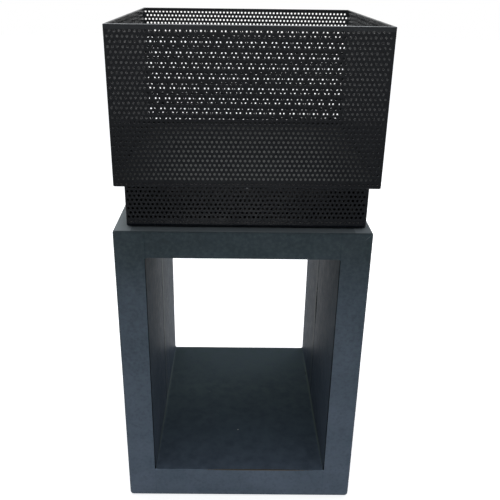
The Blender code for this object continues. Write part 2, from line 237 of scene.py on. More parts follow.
@dataclass(frozen=True)
class CastMagnesia:
    """Magnesia cement coloured grey-blue and cast in a smooth mould.

    It gives a dull, cloudy surface with fine grit, a few pores, pale rubbed edges, a dusty film on its top
    and a parting seam in the niche. Painted light and shade are laid on too: lighter at the foot and darker
    at the head, painted light on the top and behind the seam, painted shade near the bowl and down both
    sides of the opening, and a film on the niche's floor painted light at the front and dark at the back.
    """

    name: str = "cast magnesia cement"
    # Painted light and shade: the foot's clouds are lighter and the head's darker, for how light falls on
    # the stand.
    lit_foot_clouds: tuple[str, str, str] = ("#3D4752", "#434C57", "#48515D")
    shaded_head_clouds: tuple[str, str, str] = ("#252C2F", "#283034", "#2C3438")
    green_cast: str = "#2F3B39"
    dust_and_painted_light: str = "#A0A8AB"
    rubbed: str = "#7C8488"
    # Painted light: a paler band behind the seam on the niche's walls, where light from behind falls.
    seam: str = "#1C2124"
    painted_light_behind_seam: str = "#4A5154"
    rim_shadow: str = "#121619"
    cloud_mm: float = 70.0
    cloud_roughness: float = 0.62
    cloud_stops: tuple[float, float, float] = (0.36, 0.5, 0.64)
    stain_mm: float = 16.0
    stain_share: float = 0.3
    stain_depth_mm: float = 0.8
    stain_strength: float = 0.25
    mottle_mm: float = 4.5
    mottle_contrast: float = 0.16
    green_share: float = 0.22
    # The real grit is finer than a millimetre. It is drawn this coarse so that it shows.
    grit_mm: float = 1.2
    grit_depth_mm: float = 0.25
    grit_strength: float = 0.3
    pore_spacing_mm: float = 17.0
    pore_rim: tuple[float, float] = (0.03, 0.07)
    rubbed_edges: tuple[float, float] = (0.52, 0.60)
    rubbed_share: float = 0.45
    top_level: float = 0.503
    # Dust and painted light: a pale film on faces that look up, which also stands in for the light from
    # above.
    dust_and_light_depth: float = 0.004
    dust_and_light_share: float = 0.68
    dust_and_light_facing: tuple[float, float] = (0.80, 0.98)
    # Painted shade: the film is thinner within this half-width of the bowl's middle, under its overhang.
    bowl_shade_share: float = 0.41
    bowl_shade_half: float = 0.165
    # Painted light and shade: the floor's film runs from light at the front to dark at the back.
    floor_soil: tuple[str, str, str, str] = ("#5A6674", "#52606A", "#556367", "#3B4649")
    film_and_light_stops: tuple[float, float, float, float] = (0.0, 0.25, 0.6, 1.0)
    least_soil: float = 0.5
    soil_spread: tuple[float, float] = (0.35, 0.65)
    floor_level: float = 0.0575
    floor_reach: float = 0.0007
    legs_start: float = 0.08
    legs_end: float = 0.36
    legs_share: float = 0.5
    head_start: float = 0.38
    head_full: float = 0.475
    seam_place: float = -0.0028
    seam_skew: float = 0.0228
    seam_width: float = 0.0035
    # Painted light: where the paler band behind the seam lies, and half its width.
    lit_stripe_place: float = 0.013
    lit_stripe_width: float = 0.011
    band_core: float = 0.3
    band_least: float = 0.35
    band_full: float = 0.6
    niche_half: float = 0.14505
    niche_middle: float = 0.2584
    niche_half_height: float = 0.2000
    front_rim: float = -0.1870
    roughness: tuple[float, float] = (0.58, 0.72)
    wall_smoothness: tuple[float, float] = (0.05, 0.19)
    seam_roughness: float = 0.45
    specular: float = 0.07
    floor_specular: float = 0.02
    wall_specular: float = 0.010
    mark_grain: float = 0.6
    mark_jitter: float = 0.8
    mark_core: float = 0.7
    marks: tuple[Mark, ...] = (
        Mark((-0.0025, -0.0883, 0.0575), (0.0016, 0.0013, 0.0030), "#B9BDBC"),
        Mark((-0.0600, 0.0264, 0.0575), (0.0010, 0.0009, 0.0030), "#7C8385"),
        Mark((0.1450, 0.0200, 0.2680), (0.0040, 0.0085, 0.0500), "#171B1D"),
        Mark((0.1433, 0.0936, 0.0580), (0.0022, 0.0090, 0.0022), "#14181A"),
        Mark((0.0300, -0.1915, 0.0570), (0.1050, 0.0030, 0.0011), "#4B4843"),
        Mark((-0.1439, 0.0, 0.0586), (0.0021, 0.2000, 0.0021), "#505B5C"),
        Mark((0.1439, 0.0, 0.0586), (0.0021, 0.2000, 0.0021), "#56625F"),
    )
    # Which of the marks is a gash, and so is coarse as well.
    gash: int = 2

    def tone(self, on: Surface, stains: bpy.types.Node) -> bpy.types.Node:
        """Cloudy colour with a mottle on it, painted lighter at the foot as painted light and darker up the
        legs and at the head as painted shade, where it turns greener too.

        Args:
            on: The material being built.
            stains: The noise that the stains follow.

        Returns:
            The node whose output is the colour.
        """
        clouds = add_node(on.tree, "ShaderNodeTexNoise", {},
                          {"Vector": on.place, "Scale": 1 / (self.cloud_mm * MILLIMETRE), "Detail": 5.0,
                           "Roughness": self.cloud_roughness})
        mottle = add_node(on.tree, "ShaderNodeTexNoise", {},
                          {"Vector": on.place, "Scale": 1 / (self.mottle_mm * MILLIMETRE), "Detail": 3.0})
        mixed = add_node(on.tree, "ShaderNodeMix", {"data_type": "FLOAT"},
                         {"Factor": self.stain_share, "A": clouds, "B": stains})
        foot, head = (add_node(on.tree, "ShaderNodeValToRGB",
                               {"stops": dict(zip(self.cloud_stops, colours))}, {"Fac": mixed})
                      for colours in (self.lit_foot_clouds, self.shaded_head_clouds))
        # Painted shade: the colour darkens up the legs and at the head.
        legs = add_node(on.tree, "ShaderNodeMapRange", {},
                        {"Value": on.axes["Z"], "From Min": self.legs_start, "From Max": self.legs_end,
                         "To Max": self.legs_share})
        level = add_node(on.tree, "ShaderNodeMapRange", {},
                         {"Value": on.axes["Z"], "From Min": self.head_start, "From Max": self.head_full,
                          "To Min": legs, "To Max": 1.0})
        green = add_node(on.tree, "ShaderNodeMapRange", {},
                         {"Value": mottle, "From Min": 0.5, "From Max": NOISE_HIGH,
                          "To Max": self.green_share})
        speckle = add_node(on.tree, "ShaderNodeMapRange", {},
                           {"Value": mottle, "From Min": NOISE_LOW, "From Max": NOISE_HIGH,
                            "To Min": 1 - self.mottle_contrast, "To Max": 1 + self.mottle_contrast})
        tinted = on.layered(foot.outputs["Color"], [(level, head), (green, self.green_cast)])
        return add_node(on.tree, "ShaderNodeHueSaturation", {}, {"Value": speckle, "Color": tinted})

    def on_niche_walls(self, on: Surface) -> bpy.types.Node:
        """Whether a point is on one of the niche's side walls.

        Args:
            on: The material being built.

        Returns:
            The node whose output is 1 there and 0 elsewhere.
        """
        distance = add_node(on.tree, "ShaderNodeMath", {"operation": "ABSOLUTE"}, {0: on.axes["X"]})
        return add_node(on.tree, "ShaderNodeMath", {"operation": "COMPARE"},
                        {0: distance, 1: self.niche_half, 2: MILLIMETRE})

    def on_niche_floor(self, on: Surface) -> bpy.types.Node:
        """Whether a point is on the niche's floor, where bark and ashes leave a dull film, painted lighter
        at the front and darker at the back.

        Args:
            on: The material being built.

        Returns:
            The node whose output is 1 there and 0 elsewhere.
        """
        between = add_node(on.tree, "ShaderNodeMath", {"operation": "COMPARE"},
                           {0: on.axes["X"], 1: 0.0, 2: self.niche_half})
        level = add_node(on.tree, "ShaderNodeMath", {"operation": "COMPARE"},
                         {0: on.axes["Z"], 1: self.floor_level, 2: self.floor_reach})
        return add_node(on.tree, "ShaderNodeMath", {"operation": "MULTIPLY"}, {0: between, 1: level})

    def band(self, on: Surface, middle: float, width: float) -> bpy.types.Node:
        """A wandering band across the niche's walls at one depth.

        Args:
            on: The material being built.
            middle: The band's place along Y.
            width: Half its width.

        Returns:
            The node whose output is the band's strength.
        """
        wander = add_node(on.tree, "ShaderNodeTexNoise", {},
                          {"Vector": on.place, "Scale": 1 / (self.stain_mm * MILLIMETRE), "Detail": 2.0})
        shift = add_node(on.tree, "ShaderNodeMapRange", {},
                         {"Value": wander, "To Min": middle - width, "To Max": middle + width})
        skew = add_node(on.tree, "ShaderNodeMapRange", {},
                        {"Value": on.axes["X"], "From Min": -self.niche_half, "From Max": self.niche_half,
                         "To Max": self.seam_skew})
        straight = add_node(on.tree, "ShaderNodeMath", {"operation": "SUBTRACT"}, {0: on.axes["Y"], 1: skew})
        off = add_node(on.tree, "ShaderNodeMath", {"operation": "SUBTRACT"}, {0: straight, 1: shift})
        distance = add_node(on.tree, "ShaderNodeMath", {"operation": "ABSOLUTE"}, {0: off})
        line = add_node(on.tree, "ShaderNodeMapRange", {"interpolation_type": "SMOOTHSTEP"},
                        {"Value": distance, "From Min": self.band_core * width, "From Max": width,
                         "To Min": 1.0, "To Max": 0.0})
        patchy = add_node(on.tree, "ShaderNodeMapRange", {},
                          {"Value": wander, "From Min": NOISE_LOW, "From Max": self.band_full,
                           "To Min": self.band_least})
        strength = add_node(on.tree, "ShaderNodeMath", {"operation": "MULTIPLY"}, {0: line, 1: patchy})
        return add_node(on.tree, "ShaderNodeMath", {"operation": "MULTIPLY"},
                        {0: strength, 1: self.on_niche_walls(on)})

    def rim_shade_line(self, on: Surface) -> bpy.types.Node:
        """Painted shade: a dark line down both sides of the opening, where the rounded front edge turns from
        the light.

        Args:
            on: The material being built.

        Returns:
            The node whose output is the line's strength.
        """
        in_front = add_node(on.tree, "ShaderNodeMath", {"operation": "LESS_THAN"},
                            {0: on.axes["Y"], 1: self.front_rim})
        upright = add_node(on.tree, "ShaderNodeMath", {"operation": "COMPARE"},
                           {0: on.axes["Z"], 1: self.niche_middle, 2: self.niche_half_height})
        beside = add_node(on.tree, "ShaderNodeMath", {"operation": "MULTIPLY"},
                          {0: upright, 1: self.on_niche_walls(on)})
        return add_node(on.tree, "ShaderNodeMath", {"operation": "MULTIPLY"}, {0: in_front, 1: beside})

    def spot(self, on: Surface, mark: Mark) -> bpy.types.Node:
        """A ragged spot.

        Args:
            on: The material being built.
            mark: The mark to draw.

        Returns:
            The node whose output is 1 on the mark and 0 off it.
        """
        grain = max(self.grit_mm * MILLIMETRE, self.mark_grain * sorted(mark.reach)[1])
        ragged = add_node(on.tree, "ShaderNodeTexNoise", {},
                          {"Vector": on.place, "Scale": 1 / grain, "Detail": 3.0})
        jitter = add_node(on.tree, "ShaderNodeVectorMath", {"operation": "MULTIPLY_ADD"},
                          {0: ragged.outputs["Color"], 1: [self.mark_jitter * r for r in mark.reach],
                           2: [-self.mark_jitter / 2 * r for r in mark.reach]})
        moved = add_node(on.tree, "ShaderNodeVectorMath", {"operation": "ADD"}, {0: on.place, 1: jitter})
        off = add_node(on.tree, "ShaderNodeVectorMath", {"operation": "SUBTRACT"},
                       {0: moved, 1: mark.centre})
        shares = add_node(on.tree, "ShaderNodeVectorMath", {"operation": "DIVIDE"}, {0: off, 1: mark.reach})
        distance = add_node(on.tree, "ShaderNodeVectorMath", {"operation": "LENGTH"}, {0: shares})
        return add_node(on.tree, "ShaderNodeMapRange", {},
                        {"Value": distance.outputs["Value"], "From Min": self.mark_core, "From Max": 1.0,
                         "To Min": 1.0, "To Max": 0.0})

    def dust_and_top_light(self, on: Surface) -> bpy.types.Node:
        """How much pale film lies on the stand's top: real dust, and painted light on the faces that look
        up. It is thinner near the bowl, as painted shade of the bowl's overhang.

        Args:
            on: The material being built.

        Returns:
            The node whose output is the dust's share.
        """
        on_top = add_node(on.tree, "ShaderNodeMath", {"operation": "GREATER_THAN"},
                          {0: on.axes["Z"], 1: self.top_level - self.dust_and_light_depth})
        near_bowl = add_node(on.tree, "ShaderNodeMath", {"operation": "COMPARE"},
                             {0: on.axes["X"], 1: 0.0, 2: self.bowl_shade_half})
        most = add_node(on.tree, "ShaderNodeMapRange", {},
                        {"Value": near_bowl, "To Min": self.dust_and_light_share, "To Max": self.bowl_shade_share})
        level = add_node(on.tree, "ShaderNodeMapRange", {},
                         {"Value": on.facing_up, "From Min": self.dust_and_light_facing[0],
                          "From Max": self.dust_and_light_facing[1], "To Max": most})
        return add_node(on.tree, "ShaderNodeMath", {"operation": "MULTIPLY"}, {0: on_top, 1: level})

    def soil(self, on: Surface) -> bpy.types.Node:
        """The colour of the film on the niche's floor: painted light towards the front and painted shade
        towards the back.

        Args:
            on: The material being built.

        Returns:
            The node whose output is the colour.
        """
        depth = add_node(on.tree, "ShaderNodeMapRange", {},
                         {"Value": on.axes["Y"], "From Min": self.front_rim, "From Max": -self.front_rim})
        return add_node(on.tree, "ShaderNodeValToRGB",
                        {"stops": dict(zip(self.film_and_light_stops, self.floor_soil))}, {"Fac": depth})

    def gloss(self, on: Surface, stains: bpy.types.Node, grainy: bpy.types.Node) -> bpy.types.Node:
        """Roughness: patchy, smoother deep in the niche's walls, and coarse along the seam and the gash.

        Args:
            on: The material being built.
            stains: The noise that the stains follow.
            grainy: Where the surface is broken.

        Returns:
            The node whose output is the roughness.
        """
        patchy = add_node(on.tree, "ShaderNodeMapRange", {},
                          {"Value": stains, "From Min": NOISE_LOW, "From Max": NOISE_HIGH,
                           "To Min": self.roughness[0], "To Max": self.roughness[1]})
        smoothness = add_node(on.tree, "ShaderNodeMapRange", {},
                              {"Value": on.axes["Y"], "From Min": self.front_rim, "From Max": 0.0,
                               "To Min": -self.wall_smoothness[0], "To Max": -self.wall_smoothness[1]})
        smoother = add_node(on.tree, "ShaderNodeMath", {"operation": "MULTIPLY_ADD"},
                            {0: self.on_niche_walls(on), 1: smoothness, 2: patchy})
        return add_node(on.tree, "ShaderNodeMath", {"operation": "MULTIPLY_ADD"},
                        {0: grainy, 1: self.seam_roughness, 2: smoother})

    def shine(self, on: Surface) -> bpy.types.Node:
        """Specular level: low all over, and lower still on the niche's floor and walls.

        Args:
            on: The material being built.

        Returns:
            The node whose output is the level.
        """
        below = add_node(on.tree, "ShaderNodeMapRange", {},
                         {"Value": self.on_niche_floor(on), "To Min": self.specular,
                          "To Max": self.floor_specular})
        return add_node(on.tree, "ShaderNodeMapRange", {},
                        {"Value": self.on_niche_walls(on), "To Min": below, "To Max": self.wall_specular})

    def relief(self, on: Surface, stains: bpy.types.Node) -> bpy.types.Node:
        """Grit with a few open pores, on shallow waves.

        Args:
            on: The material being built.
            stains: The noise that the waves follow.

        Returns:
            The node whose output is the bumped normal.
        """
        grit = add_node(on.tree, "ShaderNodeTexNoise", {},
                        {"Vector": on.place, "Scale": 1 / (self.grit_mm * MILLIMETRE), "Detail": 2.0})
        pores = add_node(on.tree, "ShaderNodeTexVoronoi", {},
                         {"Vector": on.place, "Scale": 1 / (self.pore_spacing_mm * MILLIMETRE)})
        pits = add_node(on.tree, "ShaderNodeMapRange", {},
                        {"Value": pores.outputs["Distance"], "From Min": self.pore_rim[0],
                         "From Max": self.pore_rim[1]})
        height = add_node(on.tree, "ShaderNodeMath", {"operation": "MULTIPLY"}, {0: grit, 1: pits})
        fine = add_node(on.tree, "ShaderNodeBump", {},
                        {"Height": height, "Strength": self.grit_strength,
                         "Distance": self.grit_depth_mm * MILLIMETRE})
        return add_node(on.tree, "ShaderNodeBump", {},
                        {"Height": stains, "Strength": self.stain_strength,
                         "Distance": self.stain_depth_mm * MILLIMETRE, "Normal": fine})

    def material(self) -> bpy.types.Material:
        """Build the material.

        Returns:
            The material.
        """
        on = Surface(self.name)
        worn = add_node(on.tree, "ShaderNodeMapRange", {},
                        {"Value": on.geometry["Pointiness"], "From Min": self.rubbed_edges[0],
                         "From Max": self.rubbed_edges[1], "To Max": self.rubbed_share})
        stains = add_node(on.tree, "ShaderNodeTexNoise", {},
                          {"Vector": on.place, "Scale": 1 / (self.stain_mm * MILLIMETRE), "Detail": 4.0})
        patchy = add_node(on.tree, "ShaderNodeMapRange", {},
                          {"Value": stains, "From Min": self.soil_spread[0],
                           "From Max": self.soil_spread[1], "To Min": self.least_soil})
        soiled = add_node(on.tree, "ShaderNodeMath", {"operation": "MULTIPLY"},
                          {0: self.on_niche_floor(on), 1: patchy})
        seam = self.band(on, self.seam_place, self.seam_width)
        spots = [self.spot(on, mark) for mark in self.marks]
        layers = [
            (worn, self.rubbed),
            # Dust and painted light on the top, with painted shade near the bowl.
            (self.dust_and_top_light(on), self.dust_and_painted_light),
            # A patchy film on the niche's floor, with painted light at the front and painted shade at the
            # back.
            (soiled, self.soil(on)),
            # Painted light behind the seam.
            (self.band(on, self.lit_stripe_place, self.lit_stripe_width), self.painted_light_behind_seam),
            (seam, self.seam),
            # Painted shade down both sides of the opening.
            (self.rim_shade_line(on), self.rim_shadow),
            *((spot, mark.colour) for spot, mark in zip(spots, self.marks)),
        ]
        grainy = add_node(on.tree, "ShaderNodeMath", {"operation": "MAXIMUM"},
                          {0: seam, 1: spots[self.gash]})
        return on.finished({
            "Base Color": on.layered(self.tone(on, stains).outputs["Color"], layers),
            "Roughness": self.gloss(on, stains, grainy),
            "Specular IOR Level": self.shine(on),
            "Normal": self.relief(on, stains),
        })


@dataclass(frozen=True)
class PowderCoat:
    """Black polyester powder, baked on steel sheet.

    It gives a dull black with a fine orange peel, dusty specks and rubbed edges. Painted light is laid on
    it:
    lighter towards the rim and darker at the foot and under the basket, a painted highlight on the rim's
    fold, a lighter hem band, paler inner faces below the rim, and lit lower sides of the holes and of the
    closed dimples.
    """

    name: str = "powder-coated steel"
    # Painted light and shade: the coat runs from this dark tone at the foot and under the basket to the
    # lighter tone at the rim.
    body: str = "#04060A"
    lit_rim_tone: str = "#1B1C1E"
    rubbed: str = "#35383A"
    rubbed_edges: tuple[float, float] = (0.55, 0.75)
    rubbed_share: float = 0.5
    # Painted highlight: the light line along the outer half of the rim's fold.
    crest: str = "#B4B7B9"
    low_level: float = 0.503
    high_level: float = 0.7915
    light_fall_ends: tuple[float, float] = (-0.1, 0.9)
    rim_middle: float = 0.0048
    rim_highlight_depth: float = 0.0004
    # Painted light: the band over the folded hem at the top is painted lighter, as if lit from above.
    hem: str = "#36383A"
    hem_light_share: float = 0.42
    hem_level: float = 0.7849
    # Painted light on the up-facing lower sides of the basket's holes, where light from above catches them.
    dust_and_painted_light: str = "#6A6E70"
    dust_and_light_share: float = 0.6
    dust_and_light_facing: tuple[float, float] = (0.4, 0.8)
    hole_light_low: float = 0.5735
    hole_light_high: float = 0.784
    # Painted light: pale colour on the up-facing sides of the closed dimples, where they catch light.
    ash: str = "#97938C"
    closed_levels: tuple[float, float] = (0.5135, 0.5762)
    closed_reach: float = 0.0025
    # Painted light: the inner faces below the rim are paler, most on the side walls, where light from above
    # falls in.
    painted_inner_light: str = "#434547"
    inner_light_shares: tuple[float, float] = (0.45, 0.95)
    back_share: float = 0.25
    side_place: float = 0.186
    inward_reach: float = 0.1
    inner_light_from: float = 0.755
    inner_light_to: float = 0.772
    rim_highlight_reach: float = 0.1888
    speck: str = "#5A5E60"
    speck_mm: float = 9.0
    speck_rim: tuple[float, float] = (0.02, 0.05)
    speck_share: float = 0.5
    peel_mm: float = 1.1
    peel_depth_mm: float = 0.12
    peel_strength: float = 0.3
    patch_mm: float = 45.0
    patchiness: float = 0.2
    roughness: tuple[float, float] = (0.20, 0.34)
    specular: float = 0.075

    def centred(self, on: Surface) -> bpy.types.Node:
        """The place as it lies from the bowl's middle line."""
        return add_node(on.tree, "ShaderNodeVectorMath", {"operation": "SUBTRACT"},
                        {0: on.place, 1: (self.rim_middle, 0.0, 0.0)})

    def on_crest(self, on: Surface) -> bpy.types.Node:
        """Whether a point is on the outer half of the rim's fold, where a highlight is painted.

        Args:
            on: The material being built.

        Returns:
            The node whose output is 1 there and 0 elsewhere.
        """
        distances = add_node(on.tree, "ShaderNodeVectorMath", {"operation": "ABSOLUTE"},
                             {0: self.centred(on)})
        axes = add_node(on.tree, "ShaderNodeSeparateXYZ", {}, {0: distances}).outputs
        farther = add_node(on.tree, "ShaderNodeMath", {"operation": "MAXIMUM"}, {0: axes["X"], 1: axes["Y"]})
        outer = add_node(on.tree, "ShaderNodeMath", {"operation": "GREATER_THAN"},
                         {0: farther, 1: self.rim_highlight_reach})
        high = add_node(on.tree, "ShaderNodeMath", {"operation": "GREATER_THAN"},
                        {0: on.axes["Z"], 1: self.high_level - self.rim_highlight_depth})
        return add_node(on.tree, "ShaderNodeMath", {"operation": "MULTIPLY"}, {0: outer, 1: high})

    def inner_light_share(self, on: Surface) -> bpy.types.Node:
        """How much painted light lies on the inner faces below the basket's rim, most on the side walls.

        Args:
            on: The material being built.

        Returns:
            The node whose output is the share.
        """
        centred = self.centred(on)
        level = add_node(on.tree, "ShaderNodeVectorMath", {"operation": "MULTIPLY"},
                         {0: centred, 1: (1.0, 1.0, 0.0)})
        outwards = add_node(on.tree, "ShaderNodeVectorMath", {"operation": "DOT_PRODUCT"},
                            {0: level, 1: on.geometry["Normal"]})
        inside = add_node(on.tree, "ShaderNodeMath", {"operation": "LESS_THAN"},
                          {0: outwards.outputs["Value"], 1: -self.inward_reach})
        height = add_node(on.tree, "ShaderNodeMapRange", {},
                          {"Value": on.axes["Z"], "From Min": self.inner_light_from, "From Max": self.inner_light_to,
                           "To Min": self.inner_light_shares[0], "To Max": self.inner_light_shares[1]})
        across = add_node(on.tree, "ShaderNodeSeparateXYZ", {}, {0: centred})
        aside = add_node(on.tree, "ShaderNodeMath", {"operation": "ABSOLUTE"}, {0: across.outputs["X"]})
        at_side = add_node(on.tree, "ShaderNodeMapRange", {},
                           {"Value": aside, "From Min": self.side_place - MILLIMETRE,
                            "From Max": self.side_place, "To Min": self.back_share})
        share = add_node(on.tree, "ShaderNodeMath", {"operation": "MULTIPLY"}, {0: at_side, 1: height})
        return add_node(on.tree, "ShaderNodeMath", {"operation": "MULTIPLY"}, {0: inside, 1: share})

    def upward_share(self, on: Surface) -> bpy.types.Node:
        """How far the surface faces up, as a share."""
        return add_node(on.tree, "ShaderNodeMapRange", {},
                        {"Value": on.facing_up, "From Min": self.dust_and_light_facing[0],
                         "From Max": self.dust_and_light_facing[1]})

    def dimple_light_share(self, on: Surface) -> bpy.types.Node:
        """How much painted light lies on the up-facing sides of the closed lowest rows of pedestal and
        basket.

        Args:
            on: The material being built.

        Returns:
            The node whose output is the ash's share.
        """
        rows = [add_node(on.tree, "ShaderNodeMath", {"operation": "COMPARE"},
                         {0: on.axes["Z"], 1: level, 2: self.closed_reach})
                for level in self.closed_levels]
        either = add_node(on.tree, "ShaderNodeMath", {"operation": "MAXIMUM"}, {0: rows[0], 1: rows[1]})
        return add_node(on.tree, "ShaderNodeMath", {"operation": "MULTIPLY"}, {0: self.upward_share(on), 1: either})

    def hole_light_share(self, on: Surface) -> bpy.types.Node:
        """How much painted light lies on the lower side of the basket's holes, which face up.

        Args:
            on: The material being built.

        Returns:
            The node whose output is the painted light's share.
        """
        beside = add_node(on.tree, "ShaderNodeMath", {"operation": "COMPARE"},
                          {0: on.axes["Z"], 1: (self.hole_light_low + self.hole_light_high) / 2,
                           2: (self.hole_light_high - self.hole_light_low) / 2})
        most = add_node(on.tree, "ShaderNodeMath", {"operation": "MULTIPLY"},
                        {0: beside, 1: self.dust_and_light_share})
        return add_node(on.tree, "ShaderNodeMath", {"operation": "MULTIPLY"}, {0: self.upward_share(on), 1: most})

    def material(self) -> bpy.types.Material:
        """Build the material.

        Returns:
            The material.
        """
        on = Surface(self.name)
        patches = add_node(on.tree, "ShaderNodeTexNoise", {},
                           {"Vector": on.place, "Scale": 1 / (self.patch_mm * MILLIMETRE), "Detail": 4.0})
        # Painted light: darker at the foot and under the basket, lighter towards the rim.
        level = add_node(on.tree, "ShaderNodeMapRange", {},
                         {"Value": on.axes["Z"], "From Min": self.low_level, "From Max": self.high_level,
                          "To Min": self.light_fall_ends[0], "To Max": self.light_fall_ends[1]})
        light_fall = add_node(on.tree, "ShaderNodeMath", {"operation": "MULTIPLY_ADD"},
                          {0: patches, 1: self.patchiness, 2: level})
        colour = add_node(on.tree, "ShaderNodeValToRGB", {"stops": {0.0: self.body, 1.0: self.lit_rim_tone}},
                          {"Fac": light_fall})
        worn = add_node(on.tree, "ShaderNodeMapRange", {},
                        {"Value": on.geometry["Pointiness"], "From Min": self.rubbed_edges[0],
                         "From Max": self.rubbed_edges[1], "To Max": self.rubbed_share})
        high = add_node(on.tree, "ShaderNodeMath", {"operation": "GREATER_THAN"},
                        {0: on.axes["Z"], 1: self.hem_level})
        painted_hem_light = add_node(on.tree, "ShaderNodeMath", {"operation": "MULTIPLY"}, {0: high, 1: self.hem_light_share})
        grains = add_node(on.tree, "ShaderNodeTexVoronoi", {},
                          {"Vector": on.place, "Scale": 1 / (self.speck_mm * MILLIMETRE)})
        specks = add_node(on.tree, "ShaderNodeMapRange", {},
                          {"Value": grains.outputs["Distance"], "From Min": self.speck_rim[0],
                           "From Max": self.speck_rim[1], "To Min": self.speck_share, "To Max": 0.0})
        layers = [
            (worn, self.rubbed),
            # Painted light on the inner faces below the rim.
            (self.inner_light_share(on), self.painted_inner_light),
            # Painted light on the lower sides of the holes.
            (self.hole_light_share(on), self.dust_and_painted_light),
            # Painted light in the closed dimples.
            (self.dimple_light_share(on), self.ash),
            # Painted light on the hem band.
            (painted_hem_light, self.hem),
            # Painted highlight on the rim's fold.
            (self.on_crest(on), self.crest),
            (specks, self.speck),
        ]
        gloss = add_node(on.tree, "ShaderNodeMapRange", {},
                         {"Value": patches, "From Min": NOISE_LOW, "From Max": NOISE_HIGH,
                          "To Min": self.roughness[0], "To Max": self.roughness[1]})
        peel = add_node(on.tree, "ShaderNodeTexNoise", {},
                        {"Vector": on.place, "Scale": 1 / (self.peel_mm * MILLIMETRE), "Detail": 1.5})
        bump = add_node(on.tree, "ShaderNodeBump", {},
                        {"Height": peel, "Strength": self.peel_strength,
                         "Distance": self.peel_depth_mm * MILLIMETRE})
        return on.finished({"Base Color": on.layered(colour.outputs["Color"], layers), "Roughness": gloss,
                            "Specular IOR Level": self.specular, "Normal": bump})


@dataclass(frozen=True)
class HeatProofCoat:
    """Heat-proof paint on the fire tray.

    It is black, painted paler in the middle and in front as painted light, and darker at the sides and back
    as painted shade.
    """

    name: str = "heat-proof coated steel"
    # Painted light and shade: the dark tone at the sides and back, the pale tone in the middle and in front.
    shaded_tray_tone: str = "#1E201F"
    lit_tray_tone: str = "#4B4E4C"
    middle: float = 0.0048
    lit_half: float = 0.080
    shaded_half: float = 0.195
    back_share: float = 0.35
    depth_half: float = 0.18
    tray_patch_mm: float = 24.0
    tray_patch_shares: tuple[float, float] = (0.75, 1.1)
    grain_mm: float = 1.5
    grain_depth_mm: float = 0.15
    grain_strength: float = 0.3
    roughness: tuple[float, float] = (0.42, 0.62)
    specular: float = 0.15

    def material(self) -> bpy.types.Material:
        """Build the material.

        Returns:
            The material.
        """
        on = Surface(self.name)
        # Painted light in the middle and in front, painted shade at the sides and back, patchy.
        off = add_node(on.tree, "ShaderNodeMath", {"operation": "SUBTRACT"},
                       {0: on.axes["X"], 1: self.middle})
        aside = add_node(on.tree, "ShaderNodeMath", {"operation": "ABSOLUTE"}, {0: off})
        across = add_node(on.tree, "ShaderNodeMapRange", {"interpolation_type": "SMOOTHSTEP"},
                          {"Value": aside, "From Min": self.lit_half, "From Max": self.shaded_half,
                           "To Min": 1.0, "To Max": 0.0})
        along = add_node(on.tree, "ShaderNodeMapRange", {},
                         {"Value": on.axes["Y"], "From Min": -self.depth_half, "From Max": self.depth_half,
                          "To Min": 1.0, "To Max": self.back_share})
        ash = add_node(on.tree, "ShaderNodeTexNoise", {},
                       {"Vector": on.place, "Scale": 1 / (self.tray_patch_mm * MILLIMETRE), "Detail": 4.0})
        patchy = add_node(on.tree, "ShaderNodeMapRange", {},
                          {"Value": ash, "From Min": NOISE_LOW, "From Max": NOISE_HIGH,
                           "To Min": self.tray_patch_shares[0], "To Max": self.tray_patch_shares[1]})
        spread = add_node(on.tree, "ShaderNodeMath", {"operation": "MULTIPLY"}, {0: across, 1: along})
        share = add_node(on.tree, "ShaderNodeMath", {"operation": "MULTIPLY"}, {0: spread, 1: patchy})
        colour = add_node(on.tree, "ShaderNodeMix", {"data_type": "RGBA"},
                          {"Factor": share, 6: linear(self.shaded_tray_tone), 7: linear(self.lit_tray_tone)})
        gloss = add_node(on.tree, "ShaderNodeMapRange", {},
                         {"Value": ash, "To Min": self.roughness[0], "To Max": self.roughness[1]})
        grain = add_node(on.tree, "ShaderNodeTexNoise", {},
                         {"Vector": on.place, "Scale": 1 / (self.grain_mm * MILLIMETRE), "Detail": 2.0})
        bump = add_node(on.tree, "ShaderNodeBump", {},
                        {"Height": grain, "Strength": self.grain_strength,
                         "Distance": self.grain_depth_mm * MILLIMETRE})
        return on.finished({"Base Color": colour.outputs[2], "Roughness": gloss,
                            "Specular IOR Level": self.specular, "Normal": bump})


@dataclass(frozen=True)
class ZincPlate:
    """Bright zinc on steel fasteners: a pale metal with a faintly patchy shine."""

    name: str = "zinc-plated steel"
    body: str = "#A9ADB0"
    dull: str = "#84898C"
    patch_mm: float = 2.0
    patch_stops: tuple[float, float] = (0.35, 0.65)
    patch_depth_mm: float = 0.05
    patch_strength: float = 0.15
    roughness: tuple[float, float] = (0.42, 0.28)

    def material(self) -> bpy.types.Material:
        """Build the material.

        Returns:
            The material.
        """
        on = Surface(self.name)
        patches = add_node(on.tree, "ShaderNodeTexNoise", {},
                           {"Vector": on.place, "Scale": 1 / (self.patch_mm * MILLIMETRE), "Detail": 3.0})
        colour = add_node(on.tree, "ShaderNodeValToRGB",
                          {"stops": dict(zip(self.patch_stops, (self.dull, self.body)))}, {"Fac": patches})
        gloss = add_node(on.tree, "ShaderNodeMapRange", {},
                         {"Value": patches, "From Min": NOISE_LOW, "From Max": NOISE_HIGH,
                          "To Min": self.roughness[0], "To Max": self.roughness[1]})
        bump = add_node(on.tree, "ShaderNodeBump", {},
                        {"Height": patches, "Strength": self.patch_strength,
                         "Distance": self.patch_depth_mm * MILLIMETRE})
        return on.finished({"Base Color": colour, "Metallic": 1.0, "Roughness": gloss, "Normal": bump})


